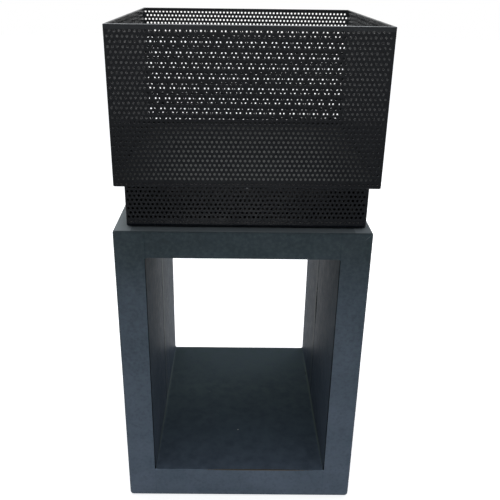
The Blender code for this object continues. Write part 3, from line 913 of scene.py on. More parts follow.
def mesh_from(bm: bmesh.types.BMesh, name: str) -> bpy.types.Mesh:
    """Turn a bmesh into a mesh with its faces pointing out.

    Args:
        bm: The closed bmesh, which is freed.
        name: The mesh's name.

    Returns:
        The mesh.
    """
    bmesh.ops.recalc_face_normals(bm, faces=bm.faces)
    mesh = bpy.data.meshes.new(name)
    bm.to_mesh(mesh)
    bm.free()
    return mesh


def smooth_rounds(mesh: bpy.types.Mesh, flat_axis: int) -> None:
    """Shade rounded stretches smooth and keep corners sharp.

    Args:
        mesh: The mesh to shade.
        flat_axis: Faces square to this axis keep their own flat shading.
    """
    bm = bmesh.new()
    bm.from_mesh(mesh)
    for face in bm.faces:
        face.smooth = True
    flat = {f for f in bm.faces if abs(f.normal[flat_axis]) > SQUARE}
    for edge in bm.edges:
        on_flat = any(f in flat for f in edge.link_faces)
        edge.smooth = not on_flat and edge.calc_face_angle(math.pi) < SHARP_ANGLE
    bm.to_mesh(mesh)
    bm.free()


def new_object(name: str, mesh: bpy.types.Mesh,
               material: bpy.types.Material | None = None) -> bpy.types.Object:
    """Link a mesh as an object at the origin.

    Args:
        name: The object's name.
        mesh: Its mesh, with its place in it.
        material: Its finish.

    Returns:
        The object.
    """
    item = bpy.data.objects.new(name, mesh)
    bpy.context.scene.collection.objects.link(item)
    if material is not None:
        mesh.materials.clear()
        mesh.materials.append(material)
    return item


def settle(item: bpy.types.Object) -> bpy.types.Mesh:
    """Turn an object with modifiers into a plain mesh, and remove the object.

    Args:
        item: The object.

    Returns:
        The evaluated mesh.
    """
    graph = bpy.context.evaluated_depsgraph_get()
    mesh = bpy.data.meshes.new_from_object(item.evaluated_get(graph))
    old = item.data
    bpy.data.objects.remove(item, do_unlink=True)
    bpy.data.meshes.remove(old)
    return mesh


def deliver(name: str, mesh: bpy.types.Mesh, material: bpy.types.Material, body: Body,
            nodes: list[str]) -> bpy.types.Object:
    """Add a finished piece, tie it to its body and let it stand for its solids.

    Args:
        name: The piece's name.
        mesh: Its mesh, in the frame's coordinates.
        material: Its finish.
        body: The body that it rides on.
        nodes: The solids that it stands for.

    Returns:
        The piece.
    """
    piece = new_object(name, mesh, material)
    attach(piece, body.value)
    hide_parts(*nodes)
    LOG.info("%s: %d faces, rides on %s", name, len(mesh.polygons), body.value)
    return piece


def arc(centre: tuple[float, float], radius: float, start: float, end: float, steps: int) -> Outline:
    """Points along an arc.

    Args:
        centre: The arc's centre.
        radius: Its radius.
        start: The first point's angle in degrees.
        end: The last point's angle in degrees.
        steps: How many chords it has.

    Returns:
        The points, both ends included.
    """
    angles = [math.radians(start + (end - start) * i / steps) for i in range(steps + 1)]
    return [(centre[0] + radius * math.cos(a), centre[1] + radius * math.sin(a)) for a in angles]


def prism(outline: Outline, low: float, high: float, axes: Matrix) -> bmesh.types.BMesh:
    """Draw a closed outline out into a solid.

    Args:
        outline: The outline's points in its own plane.
        low: Where the solid starts along the outline's normal.
        high: Where it ends.
        axes: What lays the outline's own X, Y and normal along the piece's axes.

    Returns:
        The solid as a bmesh.
    """
    bm = bmesh.new()
    ends = [[bm.verts.new((x, y, level)) for x, y in outline] for level in (low, high)]
    bm.faces.new(ends[0])
    bm.faces.new(ends[1])
    for i in range(len(outline)):
        j = (i + 1) % len(outline)
        bm.faces.new((ends[0][i], ends[0][j], ends[1][j], ends[1][i]))
    bmesh.ops.transform(bm, matrix=axes, verts=bm.verts)
    return bm


@dataclass
class CastStand:
    """The cast stand: a thick frame, open from front to back, with soft corners and a parting seam.

    Its surface is a closed grid: one way round the frame's outline, the other way round its wall.
    """

    finish: CastMagnesia
    side_wall: float = 0.0467
    top_wall: float = 0.0438
    bottom_wall: float = 0.0575
    rim_radius: float = 0.004
    niche_rim_radius: float = 0.0012
    top_corner_radius: float = 0.004
    bottom_corner_radius: float = 0.0065
    niche_corner_radius: float = 0.0035
    cell: float = 0.0045
    corner_steps: int = 5
    wave_depth: float = 0.0004
    wave_length: float = 0.09
    skin_depth: float = 0.00012
    skin_length: float = 0.012
    seam_places: tuple[float, float] = (-0.0028, 0.0200)
    seam_width: float = 0.0014
    seam_height: float = 0.0006
    seam_step: float = 0.0004
    seam_cells: int = 4
    seam_wander: float = 0.4
    seam_wander_pace: float = 3.0
    seam_step_pace: float = 4.0
    upright: float = 0.7

    def loop(self, half: float, low: float, high: float, low_radius: float, high_radius: float,
             counts: tuple[int, int]) -> Outline:
        """A rounded rectangle in the frame's XZ plane, always with the same number of points.

        Args:
            half: Half its width.
            low: Its lowest level.
            high: Its highest level.
            low_radius: The lower corners' radius.
            high_radius: The upper corners' radius.
            counts: The cells along a level side and along an upright side.

        Returns:
            The points, from the lower right corner up and round.
        """
        corners = ((half, low, low_radius, 270), (half, high, high_radius, 0),
                   (-half, high, high_radius, 90), (-half, low, low_radius, 180))
        points: Outline = []
        for index, (x, z, radius, start) in enumerate(corners):
            centre = (x - math.copysign(radius, x), z + (radius if z == low else -radius))
            bend = arc(centre, radius, start, start + 90, self.corner_steps)
            if points:
                points += self.between(points[-1], bend[0], counts[index % 2])
            points += bend
        return points + self.between(points[-1], points[0], counts[0])

    @staticmethod
    def between(start: tuple[float, float], end: tuple[float, float], cells: int) -> Outline:
        """The points that divide a straight side into cells, without its ends."""
        a, b = Vector(start), Vector(end)
        return [tuple(a.lerp(b, i / cells)) for i in range(1, cells)]

    def stations(self, depth: float) -> list[tuple[float, float, float]]:
        """The way round the wall: outer face, back, niche and front.

        Args:
            depth: The stand's depth.

        Returns:
            Share of the way from the outer to the inner outline, inset from that outline, and place along Y.
        """
        half = depth / 2
        turns = [math.radians(90 * i / self.corner_steps) for i in range(self.corner_steps + 1)]
        outer, inner = self.rim_radius, self.niche_rim_radius
        back = [(0.0, outer * (1 - math.cos(t)), half - outer * (1 - math.sin(t))) for t in turns]
        back_inner = [(1.0, inner * (1 - math.cos(t)), half - inner * (1 - math.sin(t)))
                      for t in reversed(turns)]
        cells = round((self.side_wall - outer - inner) / self.cell)
        face = [(i / cells, 0.0, half) for i in range(1, cells)]
        lengths = round(depth / self.cell)
        outer_run = [(0.0, 0.0, -(half - outer) + (depth - 2 * outer) * i / lengths)
                     for i in range(1, lengths)]
        inner_run = [(1.0, 0.0, (half - inner) - (depth - 2 * inner) * i / lengths)
                     for i in range(1, lengths)]
        near = [(1.0, 0.0, seam + self.seam_width * k / 2)
                for seam in self.seam_places for k in range(-self.seam_cells, self.seam_cells + 1)]
        margin = (self.seam_cells + 1) / 2 * self.seam_width
        clear = [s for s in inner_run if min(abs(s[2] - seam) for seam in self.seam_places) > margin]
        inner_run = sorted(clear + near, key=lambda s: -s[2])
        at_back = back + face + back_inner
        at_front = [(share, inset, -y) for share, inset, y in reversed(at_back)]
        return outer_run + at_back + inner_run + at_front

    def relief(self, point: Vector, normal: Vector, in_niche: bool) -> float:
        """How far the cast surface lies below its nominal face.

        Args:
            point: A point of the nominal surface.
            normal: The surface's normal there.
            in_niche: Whether the point is on the niche's walls.

        Returns:
            The depth in metres, which is below zero where the seam stands out.
        """
        wave = noise.noise(point / self.wave_length) * 0.5 + 0.5
        skin = noise.noise(point / self.skin_length) * 0.5 + 0.5
        depth = self.wave_depth * wave + self.skin_depth * skin
        if in_niche and abs(normal.x) > self.upright:
            off = (point.y - self.seam_places[point.x > 0]) / self.seam_width
            swing = noise.noise(point / self.wave_length * self.seam_wander_pace)
            wander = 1 - self.seam_wander * (1 - swing)
            depth -= self.seam_height * wander * math.exp(-off * off)
            depth += self.seam_step / (1 + math.exp(-self.seam_step_pace * off))
        return depth

    def build(self) -> bpy.types.Object:
        """Build and dress the stand.

        Returns:
            The stand.
        """
        low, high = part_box("stand_body")
        half, depth = (high.x - low.x) / 2, high.y - low.y
        counts = (round(2 * half / self.cell), round((high.z - low.z) / self.cell))
        bm = bmesh.new()
        rings = []
        in_niche: set[bmesh.types.BMVert] = set()
        for share, inset, y in self.stations(depth):
            at_outer = inset if share == 0 else self.rim_radius
            at_inner = inset if share == 1 else self.niche_rim_radius
            top_radius = max(self.top_corner_radius - at_outer, self.skin_depth)
            outer = self.loop(half - at_outer, low.z + at_outer, high.z - at_outer,
                              self.bottom_corner_radius - at_outer, top_radius, counts)
            inner = self.loop(half - self.side_wall + at_inner, low.z + self.bottom_wall - at_inner,
                              high.z - self.top_wall + at_inner, self.niche_corner_radius + at_inner,
                              self.niche_corner_radius + at_inner, counts)
            points = [Vector(a).lerp(Vector(b), share) for a, b in zip(outer, inner)]
            rings.append([bm.verts.new((x, y, z)) for x, z in points])
            if share == 1 and inset == 0:
                in_niche.update(rings[-1])
        for ring, following in zip(rings, rings[1:] + rings[:1]):
            for i in range(len(ring)):
                j = (i + 1) % len(ring)
                bm.faces.new((ring[i], ring[j], following[j], following[i]))
        bmesh.ops.recalc_face_normals(bm, faces=bm.faces)
        bm.normal_update()
        for vert in bm.verts:
            sole = min(max((vert.co.z - low.z) / self.bottom_corner_radius, 0), 1)
            vert.co -= vert.normal * self.relief(vert.co, vert.normal, vert in in_niche) * sole
        mesh = mesh_from(bm, "cast_stand")
        mesh.shade_smooth()
        return deliver("cast_stand", mesh, self.finish.material(), Body.STAND, ["stand_body"])


@dataclass(frozen=True)
class HoleLattice:
    """Staggered rows of punched holes in one wall, measured from the wall's left end and its top."""

    columns: int
    rows: int
    first_across: float
    first_down: float
    last_across: float
    stagger: float
    pitch: float
    row_pitch: float
    diameter: float
    turn_degrees: float
    seed: int
    closed_depth: float = 0.0011
    punch_sheets: int = 3

    def inputs(self, length: float, height: float, sheet: float) -> dict[str, object]:
        """The named inputs of the punching tree for one wall.

        Args:
            length: The wall's outer length.
            height: The wall's height.
            sheet: The sheet's thickness.

        Returns:
            The values by the inputs' names.
        """
        return {
            "Hole Diameter": self.diameter,
            "Pitch": self.pitch,
            "Row Pitch": self.row_pitch,
            "Stagger": self.stagger,
            "Columns": self.columns,
            "Rows": self.rows,
            "First Hole": (self.first_across - length / 2, 0.0, height - self.first_down),
            "Last Across": self.last_across - length / 2,
            "Lattice Turn": -math.radians(self.turn_degrees),
            "Punch Length": self.punch_sheets * sheet,
            "Closed Depth": self.closed_depth,
            "Seed": self.seed,
        }


class NodeTool:
    """A Geometry Nodes tree with named inputs, which turns an object into a plain mesh."""

    title = "tool"
    wanted: dict[str, str] = {}

    def __init__(self) -> None:
        """Build the tree."""
        self.tree = bpy.data.node_groups.new(self.title, "GeometryNodeTree")
        self.sockets: dict[str, str] = {}
        for name, kind in self.wanted.items():
            socket = self.tree.interface.new_socket(name, in_out="INPUT", socket_type=f"NodeSocket{kind}")
            self.sockets[name] = socket.identifier
        self.tree.interface.new_socket("Piece", in_out="OUTPUT", socket_type="NodeSocketGeometry")
        given = add_node(self.tree, "NodeGroupInput").outputs
        real = add_node(self.tree, "GeometryNodeRealizeInstances", {},
                        {"Geometry": self.wire(self.tree, given)})
        dressed = add_node(self.tree, "GeometryNodeSetMaterial", {},
                           {"Geometry": real, "Material": given["Finish"]})
        add_node(self.tree, "NodeGroupOutput", {}, {0: dressed})

    def wire(self, tree: bpy.types.NodeTree, given: bpy.types.NodeOutputs) -> bpy.types.Node:
        """Wire the tree between its inputs and the node that gives the piece."""
        raise NotImplementedError

    def apply(self, item: bpy.types.Object, values: dict[str, object],
              finish: bpy.types.Material) -> bpy.types.Mesh:
        """Run the tree on an object.

        Args:
            item: The object, which is removed.
            values: The tree's inputs by name.
            finish: The finish that the tree sets.

        Returns:
            The resulting mesh.
        """
        modifier = item.modifiers.new(self.title, "NODES")
        modifier.node_group = self.tree
        for name, value in {**values, "Finish": finish}.items():
            modifier[self.sockets[name]] = value
        return settle(item)


class Punch(NodeTool):
    """Punches staggered rows of round holes through a wall, the lowest row only as closed dimples."""

    title = "punched holes"
    hole_sides = 12
    spread_share = 0.02
    wanted = {
        "Wall": "Geometry", "Hole Diameter": "Float", "Pitch": "Float", "Row Pitch": "Float",
        "Stagger": "Float", "Columns": "Int", "Rows": "Int", "First Hole": "Vector", "Last Across": "Float",
        "Lattice Turn": "Float", "Punch Length": "Float", "Closed Depth": "Float", "Seed": "Int",
        "Finish": "Material",
    }

    def wire(self, tree: bpy.types.NodeTree, given: bpy.types.NodeOutputs) -> bpy.types.Node:
        """Lay out the holes and cut them.

        Args:
            tree: The tree.
            given: Its inputs.

        Returns:
            The node that gives the punched wall.
        """
        count = add_node(tree, "ShaderNodeMath", {"operation": "MULTIPLY"},
                         {0: given["Columns"], 1: given["Rows"]})
        points = add_node(tree, "GeometryNodePoints", {}, {"Count": count})
        index = add_node(tree, "GeometryNodeInputIndex")
        column = add_node(tree, "ShaderNodeMath", {"operation": "MODULO"}, {0: index, 1: given["Columns"]})
        rows_done = add_node(tree, "ShaderNodeMath", {"operation": "DIVIDE"},
                             {0: index, 1: given["Columns"]})
        row = add_node(tree, "ShaderNodeMath", {"operation": "FLOOR"}, {0: rows_done})
        odd_row = add_node(tree, "ShaderNodeMath", {"operation": "MODULO"}, {0: row, 1: 2.0})
        shift = add_node(tree, "ShaderNodeMath", {"operation": "MULTIPLY"},
                         {0: odd_row, 1: given["Stagger"]})
        across = add_node(tree, "ShaderNodeMath", {"operation": "MULTIPLY_ADD"},
                          {0: column, 1: given["Pitch"], 2: shift})
        down = add_node(tree, "ShaderNodeMath", {"operation": "MULTIPLY"}, {0: row, 1: given["Row Pitch"]})
        up = add_node(tree, "ShaderNodeMath", {"operation": "MULTIPLY"}, {0: down, 1: -1.0})
        last = add_node(tree, "ShaderNodeMath", {"operation": "ADD"}, {0: given["Rows"], 1: -1.0})
        in_last = add_node(tree, "ShaderNodeMath", {"operation": "COMPARE"}, {0: row, 1: last, 2: 0.5})
        pulled = add_node(tree, "ShaderNodeMath", {"operation": "MULTIPLY_ADD"},
                          {0: given["Punch Length"], 1: -0.5, 2: given["Closed Depth"]})
        out = add_node(tree, "ShaderNodeMath", {"operation": "MULTIPLY"}, {0: in_last, 1: pulled})
        step = add_node(tree, "ShaderNodeCombineXYZ", {}, {"X": across, "Y": out, "Z": up})
        turned = add_node(tree, "ShaderNodeVectorRotate", {"rotation_type": "Y_AXIS"},
                          {"Vector": step, "Angle": given["Lattice Turn"]})
        centre = add_node(tree, "ShaderNodeVectorMath", {"operation": "ADD"},
                          {0: turned, 1: given["First Hole"]})
        placed = add_node(tree, "GeometryNodeSetPosition", {}, {"Geometry": points, "Position": centre})
        position = add_node(tree, "ShaderNodeSeparateXYZ", {},
                            {0: add_node(tree, "GeometryNodeInputPosition")})
        beyond = add_node(tree, "FunctionNodeCompare", {"data_type": "FLOAT", "operation": "GREATER_THAN"},
                          {"A": position.outputs["X"], "B": given["Last Across"]})
        kept = add_node(tree, "GeometryNodeDeleteGeometry", {"domain": "POINT"},
                        {"Geometry": placed, "Selection": beyond})
        radius = add_node(tree, "ShaderNodeMath", {"operation": "MULTIPLY"},
                          {0: given["Hole Diameter"], 1: 0.5})
        punch = add_node(tree, "GeometryNodeMeshCylinder", {"fill_type": "NGON"},
                         {"Vertices": self.hole_sides, "Radius": radius, "Depth": given["Punch Length"]})
        spread = add_node(tree, "FunctionNodeRandomValue", {"data_type": "FLOAT"},
                          {2: 1 - self.spread_share, 3: 1 + self.spread_share, "Seed": given["Seed"]})
        size = add_node(tree, "ShaderNodeCombineXYZ", {},
                        {"X": spread.outputs[1], "Y": spread.outputs[1], "Z": 1.0})
        upward_share = add_node(tree, "FunctionNodeEulerToRotation", {}, {0: (math.pi / 2, 0.0, 0.0)})
        punches = add_node(tree, "GeometryNodeInstanceOnPoints", {},
                           {"Points": kept, "Instance": punch, "Rotation": upward_share, "Scale": size})
        solid = add_node(tree, "GeometryNodeRealizeInstances", {}, {"Geometry": punches})
        return add_node(tree, "GeometryNodeMeshBoolean", {"operation": "DIFFERENCE", "solver": "MANIFOLD"},
                        {"Mesh 1": given["Wall"], "Mesh 2": solid})


class FastenerRing(NodeTool):
    """Sets copies of a fastener round a centre, each left at a turn of its own."""

    title = "fastener ring"
    wanted = {"Fastener": "Geometry", "Count": "Int", "Centre": "Vector", "Reach": "Float", "Seed": "Int",
              "Finish": "Material"}

    def wire(self, tree: bpy.types.NodeTree, given: bpy.types.NodeOutputs) -> bpy.types.Node:
        """Place the copies.

        Args:
            tree: The tree.
            given: Its inputs.

        Returns:
            The node that gives the ring.
        """
        points = add_node(tree, "GeometryNodePoints", {}, {"Count": given["Count"]})
        share = add_node(tree, "ShaderNodeMath", {"operation": "DIVIDE"},
                         {0: add_node(tree, "GeometryNodeInputIndex"), 1: given["Count"]})
        angle = add_node(tree, "ShaderNodeMath", {"operation": "MULTIPLY"}, {0: share, 1: 2 * math.pi})
        out = add_node(tree, "ShaderNodeCombineXYZ", {}, {"X": given["Reach"]})
        turned = add_node(tree, "ShaderNodeVectorRotate", {"rotation_type": "Z_AXIS"},
                          {"Vector": out, "Angle": angle})
        centre = add_node(tree, "ShaderNodeVectorMath", {"operation": "ADD"},
                          {0: turned, 1: given["Centre"]})
        placed = add_node(tree, "GeometryNodeSetPosition", {}, {"Geometry": points, "Position": centre})
        spin = add_node(tree, "FunctionNodeRandomValue", {"data_type": "FLOAT"},
                        {2: 0.0, 3: math.pi, "Seed": given["Seed"]})
        turn = add_node(tree, "ShaderNodeCombineXYZ", {}, {"Z": spin.outputs[1]})
        rotation = add_node(tree, "FunctionNodeEulerToRotation", {}, {0: turn})
        return add_node(tree, "GeometryNodeInstanceOnPoints", {},
                        {"Points": placed, "Instance": given["Fastener"], "Rotation": rotation})


class StitchWelds(NodeTool):
    """Lays short rippled weld beads along the four sides of a square."""

    title = "stitch welds"
    bead_sides = 8
    end_power = 10.0
    end_narrowing = 0.75
    length_spread = (0.85, 1.1)
    wanted = {"Start": "Geometry", "Stitches": "Int", "Spacing": "Float", "Stitch Length": "Float",
              "Bead Radius": "Float", "Ripple": "Float", "Ripple Pitch": "Float", "Step": "Float",
              "Centre": "Vector", "Reach": "Float", "Seed": "Int", "Finish": "Material"}

    def wire(self, tree: bpy.types.NodeTree, given: bpy.types.NodeOutputs) -> bpy.types.Node:
        """Ripple one bead, repeat it along a side and turn the side round the square.

        Args:
            tree: The tree.
            given: Its inputs.

        Returns:
            The node that gives the beads.
        """
        half = add_node(tree, "ShaderNodeMath", {"operation": "MULTIPLY"},
                        {0: given["Stitch Length"], 1: 0.5})
        left = add_node(tree, "ShaderNodeMath", {"operation": "MULTIPLY"}, {0: half, 1: -1.0})
        line = add_node(tree, "GeometryNodeCurvePrimitiveLine", {},
                        {"Start": add_node(tree, "ShaderNodeCombineXYZ", {}, {"X": left}),
                         "End": add_node(tree, "ShaderNodeCombineXYZ", {}, {"X": half})})
        fine = add_node(tree, "GeometryNodeResampleCurve", {"mode": "LENGTH"},
                        {"Curve": line, "Length": given["Step"]})
        run = add_node(tree, "GeometryNodeSplineParameter")
        phase = add_node(tree, "ShaderNodeMath", {"operation": "DIVIDE"},
                         {0: run.outputs["Length"], 1: given["Ripple Pitch"]})
        angle = add_node(tree, "ShaderNodeMath", {"operation": "MULTIPLY"}, {0: phase, 1: 2 * math.pi})
        wave = add_node(tree, "ShaderNodeMath", {"operation": "SINE"}, {0: angle})
        ripple = add_node(tree, "ShaderNodeMath", {"operation": "MULTIPLY_ADD"},
                          {0: wave, 1: given["Ripple"], 2: 1.0})
        off_middle = add_node(tree, "ShaderNodeMath", {"operation": "MULTIPLY_ADD"},
                              {0: run.outputs["Factor"], 1: 2.0, 2: -1.0})
        distance = add_node(tree, "ShaderNodeMath", {"operation": "ABSOLUTE"}, {0: off_middle})
        steep = add_node(tree, "ShaderNodeMath", {"operation": "POWER"}, {0: distance, 1: self.end_power})
        rounded = add_node(tree, "ShaderNodeMath", {"operation": "MULTIPLY_ADD"},
                           {0: steep, 1: -self.end_narrowing, 2: 1.0})
        width = add_node(tree, "ShaderNodeMath", {"operation": "MULTIPLY"}, {0: ripple, 1: rounded})
        radius = add_node(tree, "ShaderNodeMath", {"operation": "MULTIPLY"},
                          {0: width, 1: given["Bead Radius"]})
        section = add_node(tree, "GeometryNodeCurvePrimitiveCircle", {},
                           {"Resolution": self.bead_sides, "Radius": 1.0})
        bead = add_node(tree, "GeometryNodeCurveToMesh", {},
                        {"Curve": fine, "Profile Curve": section.outputs["Curve"], "Scale": radius,
                         "Fill Caps": True})
        gaps = add_node(tree, "ShaderNodeMath", {"operation": "ADD"}, {0: given["Stitches"], 1: -1.0})
        span = add_node(tree, "ShaderNodeMath", {"operation": "MULTIPLY"}, {0: gaps, 1: given["Spacing"]})
        first = add_node(tree, "ShaderNodeMath", {"operation": "MULTIPLY"}, {0: span, 1: -0.5})
        inwards = add_node(tree, "ShaderNodeMath", {"operation": "MULTIPLY"}, {0: given["Reach"], 1: -1.0})
        start = add_node(tree, "ShaderNodeCombineXYZ", {}, {"X": first, "Y": inwards})
        offset = add_node(tree, "ShaderNodeCombineXYZ", {}, {"X": given["Spacing"]})
        row = add_node(tree, "GeometryNodeMeshLine", {"mode": "OFFSET"},
                       {"Count": given["Stitches"], "Start Location": start, "Offset": offset})
        spread = add_node(tree, "FunctionNodeRandomValue", {"data_type": "FLOAT"},
                          {2: self.length_spread[0], 3: self.length_spread[1], "Seed": given["Seed"]})
        stretch = add_node(tree, "ShaderNodeCombineXYZ", {}, {"X": spread.outputs[1], "Y": 1.0, "Z": 1.0})
        side = add_node(tree, "GeometryNodeInstanceOnPoints", {},
                        {"Points": row, "Instance": bead, "Scale": stretch})
        corner_points = add_node(tree, "GeometryNodePoints", {}, {"Count": 4, "Position": given["Centre"]})
        quarter = add_node(tree, "ShaderNodeMath", {"operation": "MULTIPLY"},
                           {0: add_node(tree, "GeometryNodeInputIndex"), 1: math.pi / 2})
        turn = add_node(tree, "FunctionNodeEulerToRotation", {},
                        {0: add_node(tree, "ShaderNodeCombineXYZ", {}, {"Z": quarter})})
        return add_node(tree, "GeometryNodeInstanceOnPoints", {},
                        {"Points": corner_points, "Instance": side, "Rotation": turn})


@dataclass
class PunchedBox:
    """Four walls of perforated sheet, mitred and welded round a square. The base of basket and pedestal."""

    punch: Punch
    finish: bpy.types.Material
    lattices: dict[Side, HoleLattice]
    name: str = "box"
    sheet: float = 0.0015
    corner_radius: float = 0.002
    bend_steps: int = 6
    reach: float = 0.0015
    overrun: float = 0.002

    def node(self, side: Side) -> str:
        """The name of a side's solid."""
        return f"{self.name}_wall_{side.label}"

    def section(self, height: float) -> Outline:
        """The wall's section, inwards and up from its outer foot."""
        raise NotImplementedError

    def plan(self, length: float) -> Outline:
        """Plan of a wall: rounded outer corners, and ends cut at 45 degrees to meet the next wall.

        Args:
            length: The wall's outer length.

        Returns:
            The outline's points, along the wall and inwards.
        """
        half, radius = length / 2, self.corner_radius
        inner = self.reach + self.overrun
        right = arc((half - radius, radius), radius, -90, -45, self.bend_steps)
        left = [(-x, y) for x, y in reversed(right)]
        front = [(-half + radius, -self.overrun), (half - radius, -self.overrun)]
        return front + right + [(half - inner, inner), (-half + inner, inner)] + left

    def wall(self, side: Side, length: float, height: float) -> bpy.types.Mesh:
        """Make one punched wall in its own axes: along X, inwards along +Y, and up.

        Args:
            side: Which side of the box.
            length: The wall's outer length.
            height: The wall's height.

        Returns:
            The wall's mesh.
        """
        upright = Matrix(((0, 0, 1, 0), (1, 0, 0, 0), (0, 1, 0, 0), (0, 0, 0, 1)))
        blank = prism(self.section(height), -length / 2 - self.overrun, length / 2 + self.overrun, upright)
        item = new_object(self.node(side) + "_blank", mesh_from(blank, "blank"))
        plan = prism(self.plan(length), -self.overrun, height + self.overrun, Matrix.Identity(4))
        trimmer = new_object(self.node(side) + "_plan", mesh_from(plan, "plan"))
        trim = item.modifiers.new("mitres", "BOOLEAN")
        trim.operation = "INTERSECT"
        trim.solver = "MANIFOLD"
        trim.object = trimmer
        mesh = self.punch.apply(item, self.lattices[side].inputs(length, height, self.sheet), self.finish)
        bpy.data.objects.remove(trimmer, do_unlink=True)
        smooth_rounds(mesh, flat_axis=1)
        return mesh

    def build(self) -> list[bpy.types.Object]:
        """Build, place and dress the four walls.

        Returns:
            The walls.
        """
        boxes = [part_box(self.node(side)) for side in Side]
        low = Vector([min(b[0][i] for b in boxes) for i in range(3)])
        high = Vector([max(b[1][i] for b in boxes) for i in range(3)])
        size, middle = high - low, (low + high) / 2
        pieces = []
        for side in Side:
            along, across = (size.x, size.y) if side.value % 2 == 0 else (size.y, size.x)
            mesh = self.wall(side, along, size.z)
            place = Matrix.Translation((middle.x, middle.y, low.z)) @ side.turn
            mesh.transform(place @ Matrix.Translation((0, -across / 2, 0)))
            pieces.append(deliver(f"{self.name}_sheet_{side.label}", mesh, self.finish, Body.BOWL,
                                  [self.node(side)]))
        return pieces


@dataclass
class Basket(PunchedBox):
    """The fire basket, whose rim is a hem folded in over the sheet."""

    name: str = "basket"
    hem_height: float = 0.0055
    foot_radius: float = 0.0028
    reach: float = 0.003

    def section(self, height: float) -> Outline:
        """A rounded foot, the sheet and the hem folded in along the rim.

        Args:
            height: The wall's height.

        Returns:
            The outline's points, inwards and up.
        """
        cut = 180 + math.degrees(math.acos(1 - self.sheet / self.foot_radius))
        foot = arc((self.foot_radius, self.foot_radius), self.foot_radius, cut, 180, self.bend_steps)
        rim = arc((self.sheet, height - self.sheet), self.sheet, 180, 0, 2 * self.bend_steps)
        hem_foot = height - self.hem_height
        return foot + rim + [(2 * self.sheet, hem_foot), (self.sheet, hem_foot)]


@dataclass
class Pedestal(PunchedBox):
    """The vented pedestal, whose lower edges bend in."""

    name: str = "pedestal"
    foot_radius: float = 0.0058
    reach: float = 0.0058

    def section(self, height: float) -> Outline:
        """An upright sheet whose lower edge bends in.

        Args:
            height: The wall's height.

        Returns:
            The outline's points, inwards and up.
        """
        radius = self.foot_radius
        outer = arc((radius, radius), radius, 270, 180, self.bend_steps)
        inner = arc((radius, radius), radius - self.sheet, 180, 270, self.bend_steps)
        return outer + [(0.0, height), (self.sheet, height)] + inner


@dataclass
class FoldedPan:
    """A flat pan folded from sheet, with a low lip all round."""

    node: str
    piece: str
    body: Body
    slot: Slot
    finish: bpy.types.Material
    sheet: float = 0.0015
    lip_trim: float = 0.0
    side_trim: float = 0.0
    corner_radius: float = 0.006
    bend_radius: float = 0.0025
    corner_steps: int = 8
    bend_steps: int = 5

    def build(self) -> bpy.types.Object:
        """Build and dress the pan.

        Returns:
            The pan.
        """
        low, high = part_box(self.node)
        high.z -= self.lip_trim
        low += Vector((self.side_trim, self.side_trim, 0))
        high -= Vector((self.side_trim, self.side_trim, 0))
        bm = bmesh.new()
        size, middle = high - low, (low + high) / 2
        bmesh.ops.create_cube(bm, size=1, matrix=Matrix.Translation(middle) @ Matrix.Diagonal((*size, 1)))
        tops = [f for f in bm.faces if all(v.co.z > middle.z for v in f.verts)]
        bmesh.ops.delete(bm, geom=tops, context="FACES_ONLY")
        uprights = [e for e in bm.edges if (e.verts[0].co.z > middle.z) != (e.verts[1].co.z > middle.z)]
        bmesh.ops.bevel(bm, geom=uprights, offset=self.corner_radius, segments=self.corner_steps,
                        profile=0.5, affect="EDGES")
        sole = [e for e in bm.edges if all(v.co.z < middle.z for v in e.verts)]
        bmesh.ops.bevel(bm, geom=sole, offset=self.bend_radius, segments=self.bend_steps,
                        profile=0.5, affect="EDGES")
        mesh = bpy.data.meshes.new(self.piece)
        bm.to_mesh(mesh)
        bm.free()
        item = new_object(self.piece + "_skin", mesh)
        sheet = item.modifiers.new("sheet", "SOLIDIFY")
        sheet.thickness = self.sheet
        sheet.offset = -1
        solid = settle(item)
        smooth_rounds(solid, flat_axis=2)
        return deliver(self.piece, solid, self.finish, self.body, [self.node])


@dataclass
class Ledges:
    """The flat bars inside basket and pedestal, which keep their solids."""

    finish: bpy.types.Material
    families: tuple[str, ...] = ("basket_ledge", "pedestal_ledge")

    def dress(self) -> None:
        """Give each bar its finish."""
        for family in self.families:
            for side in Side:
                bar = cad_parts[f"{family}_{side.label}"]
                if bar.material_slots:
                    for slot in bar.material_slots:
                        slot.material = self.finish
                else:
                    bar.data.materials.append(self.finish)
                LOG.info("%s dressed", bar.name)


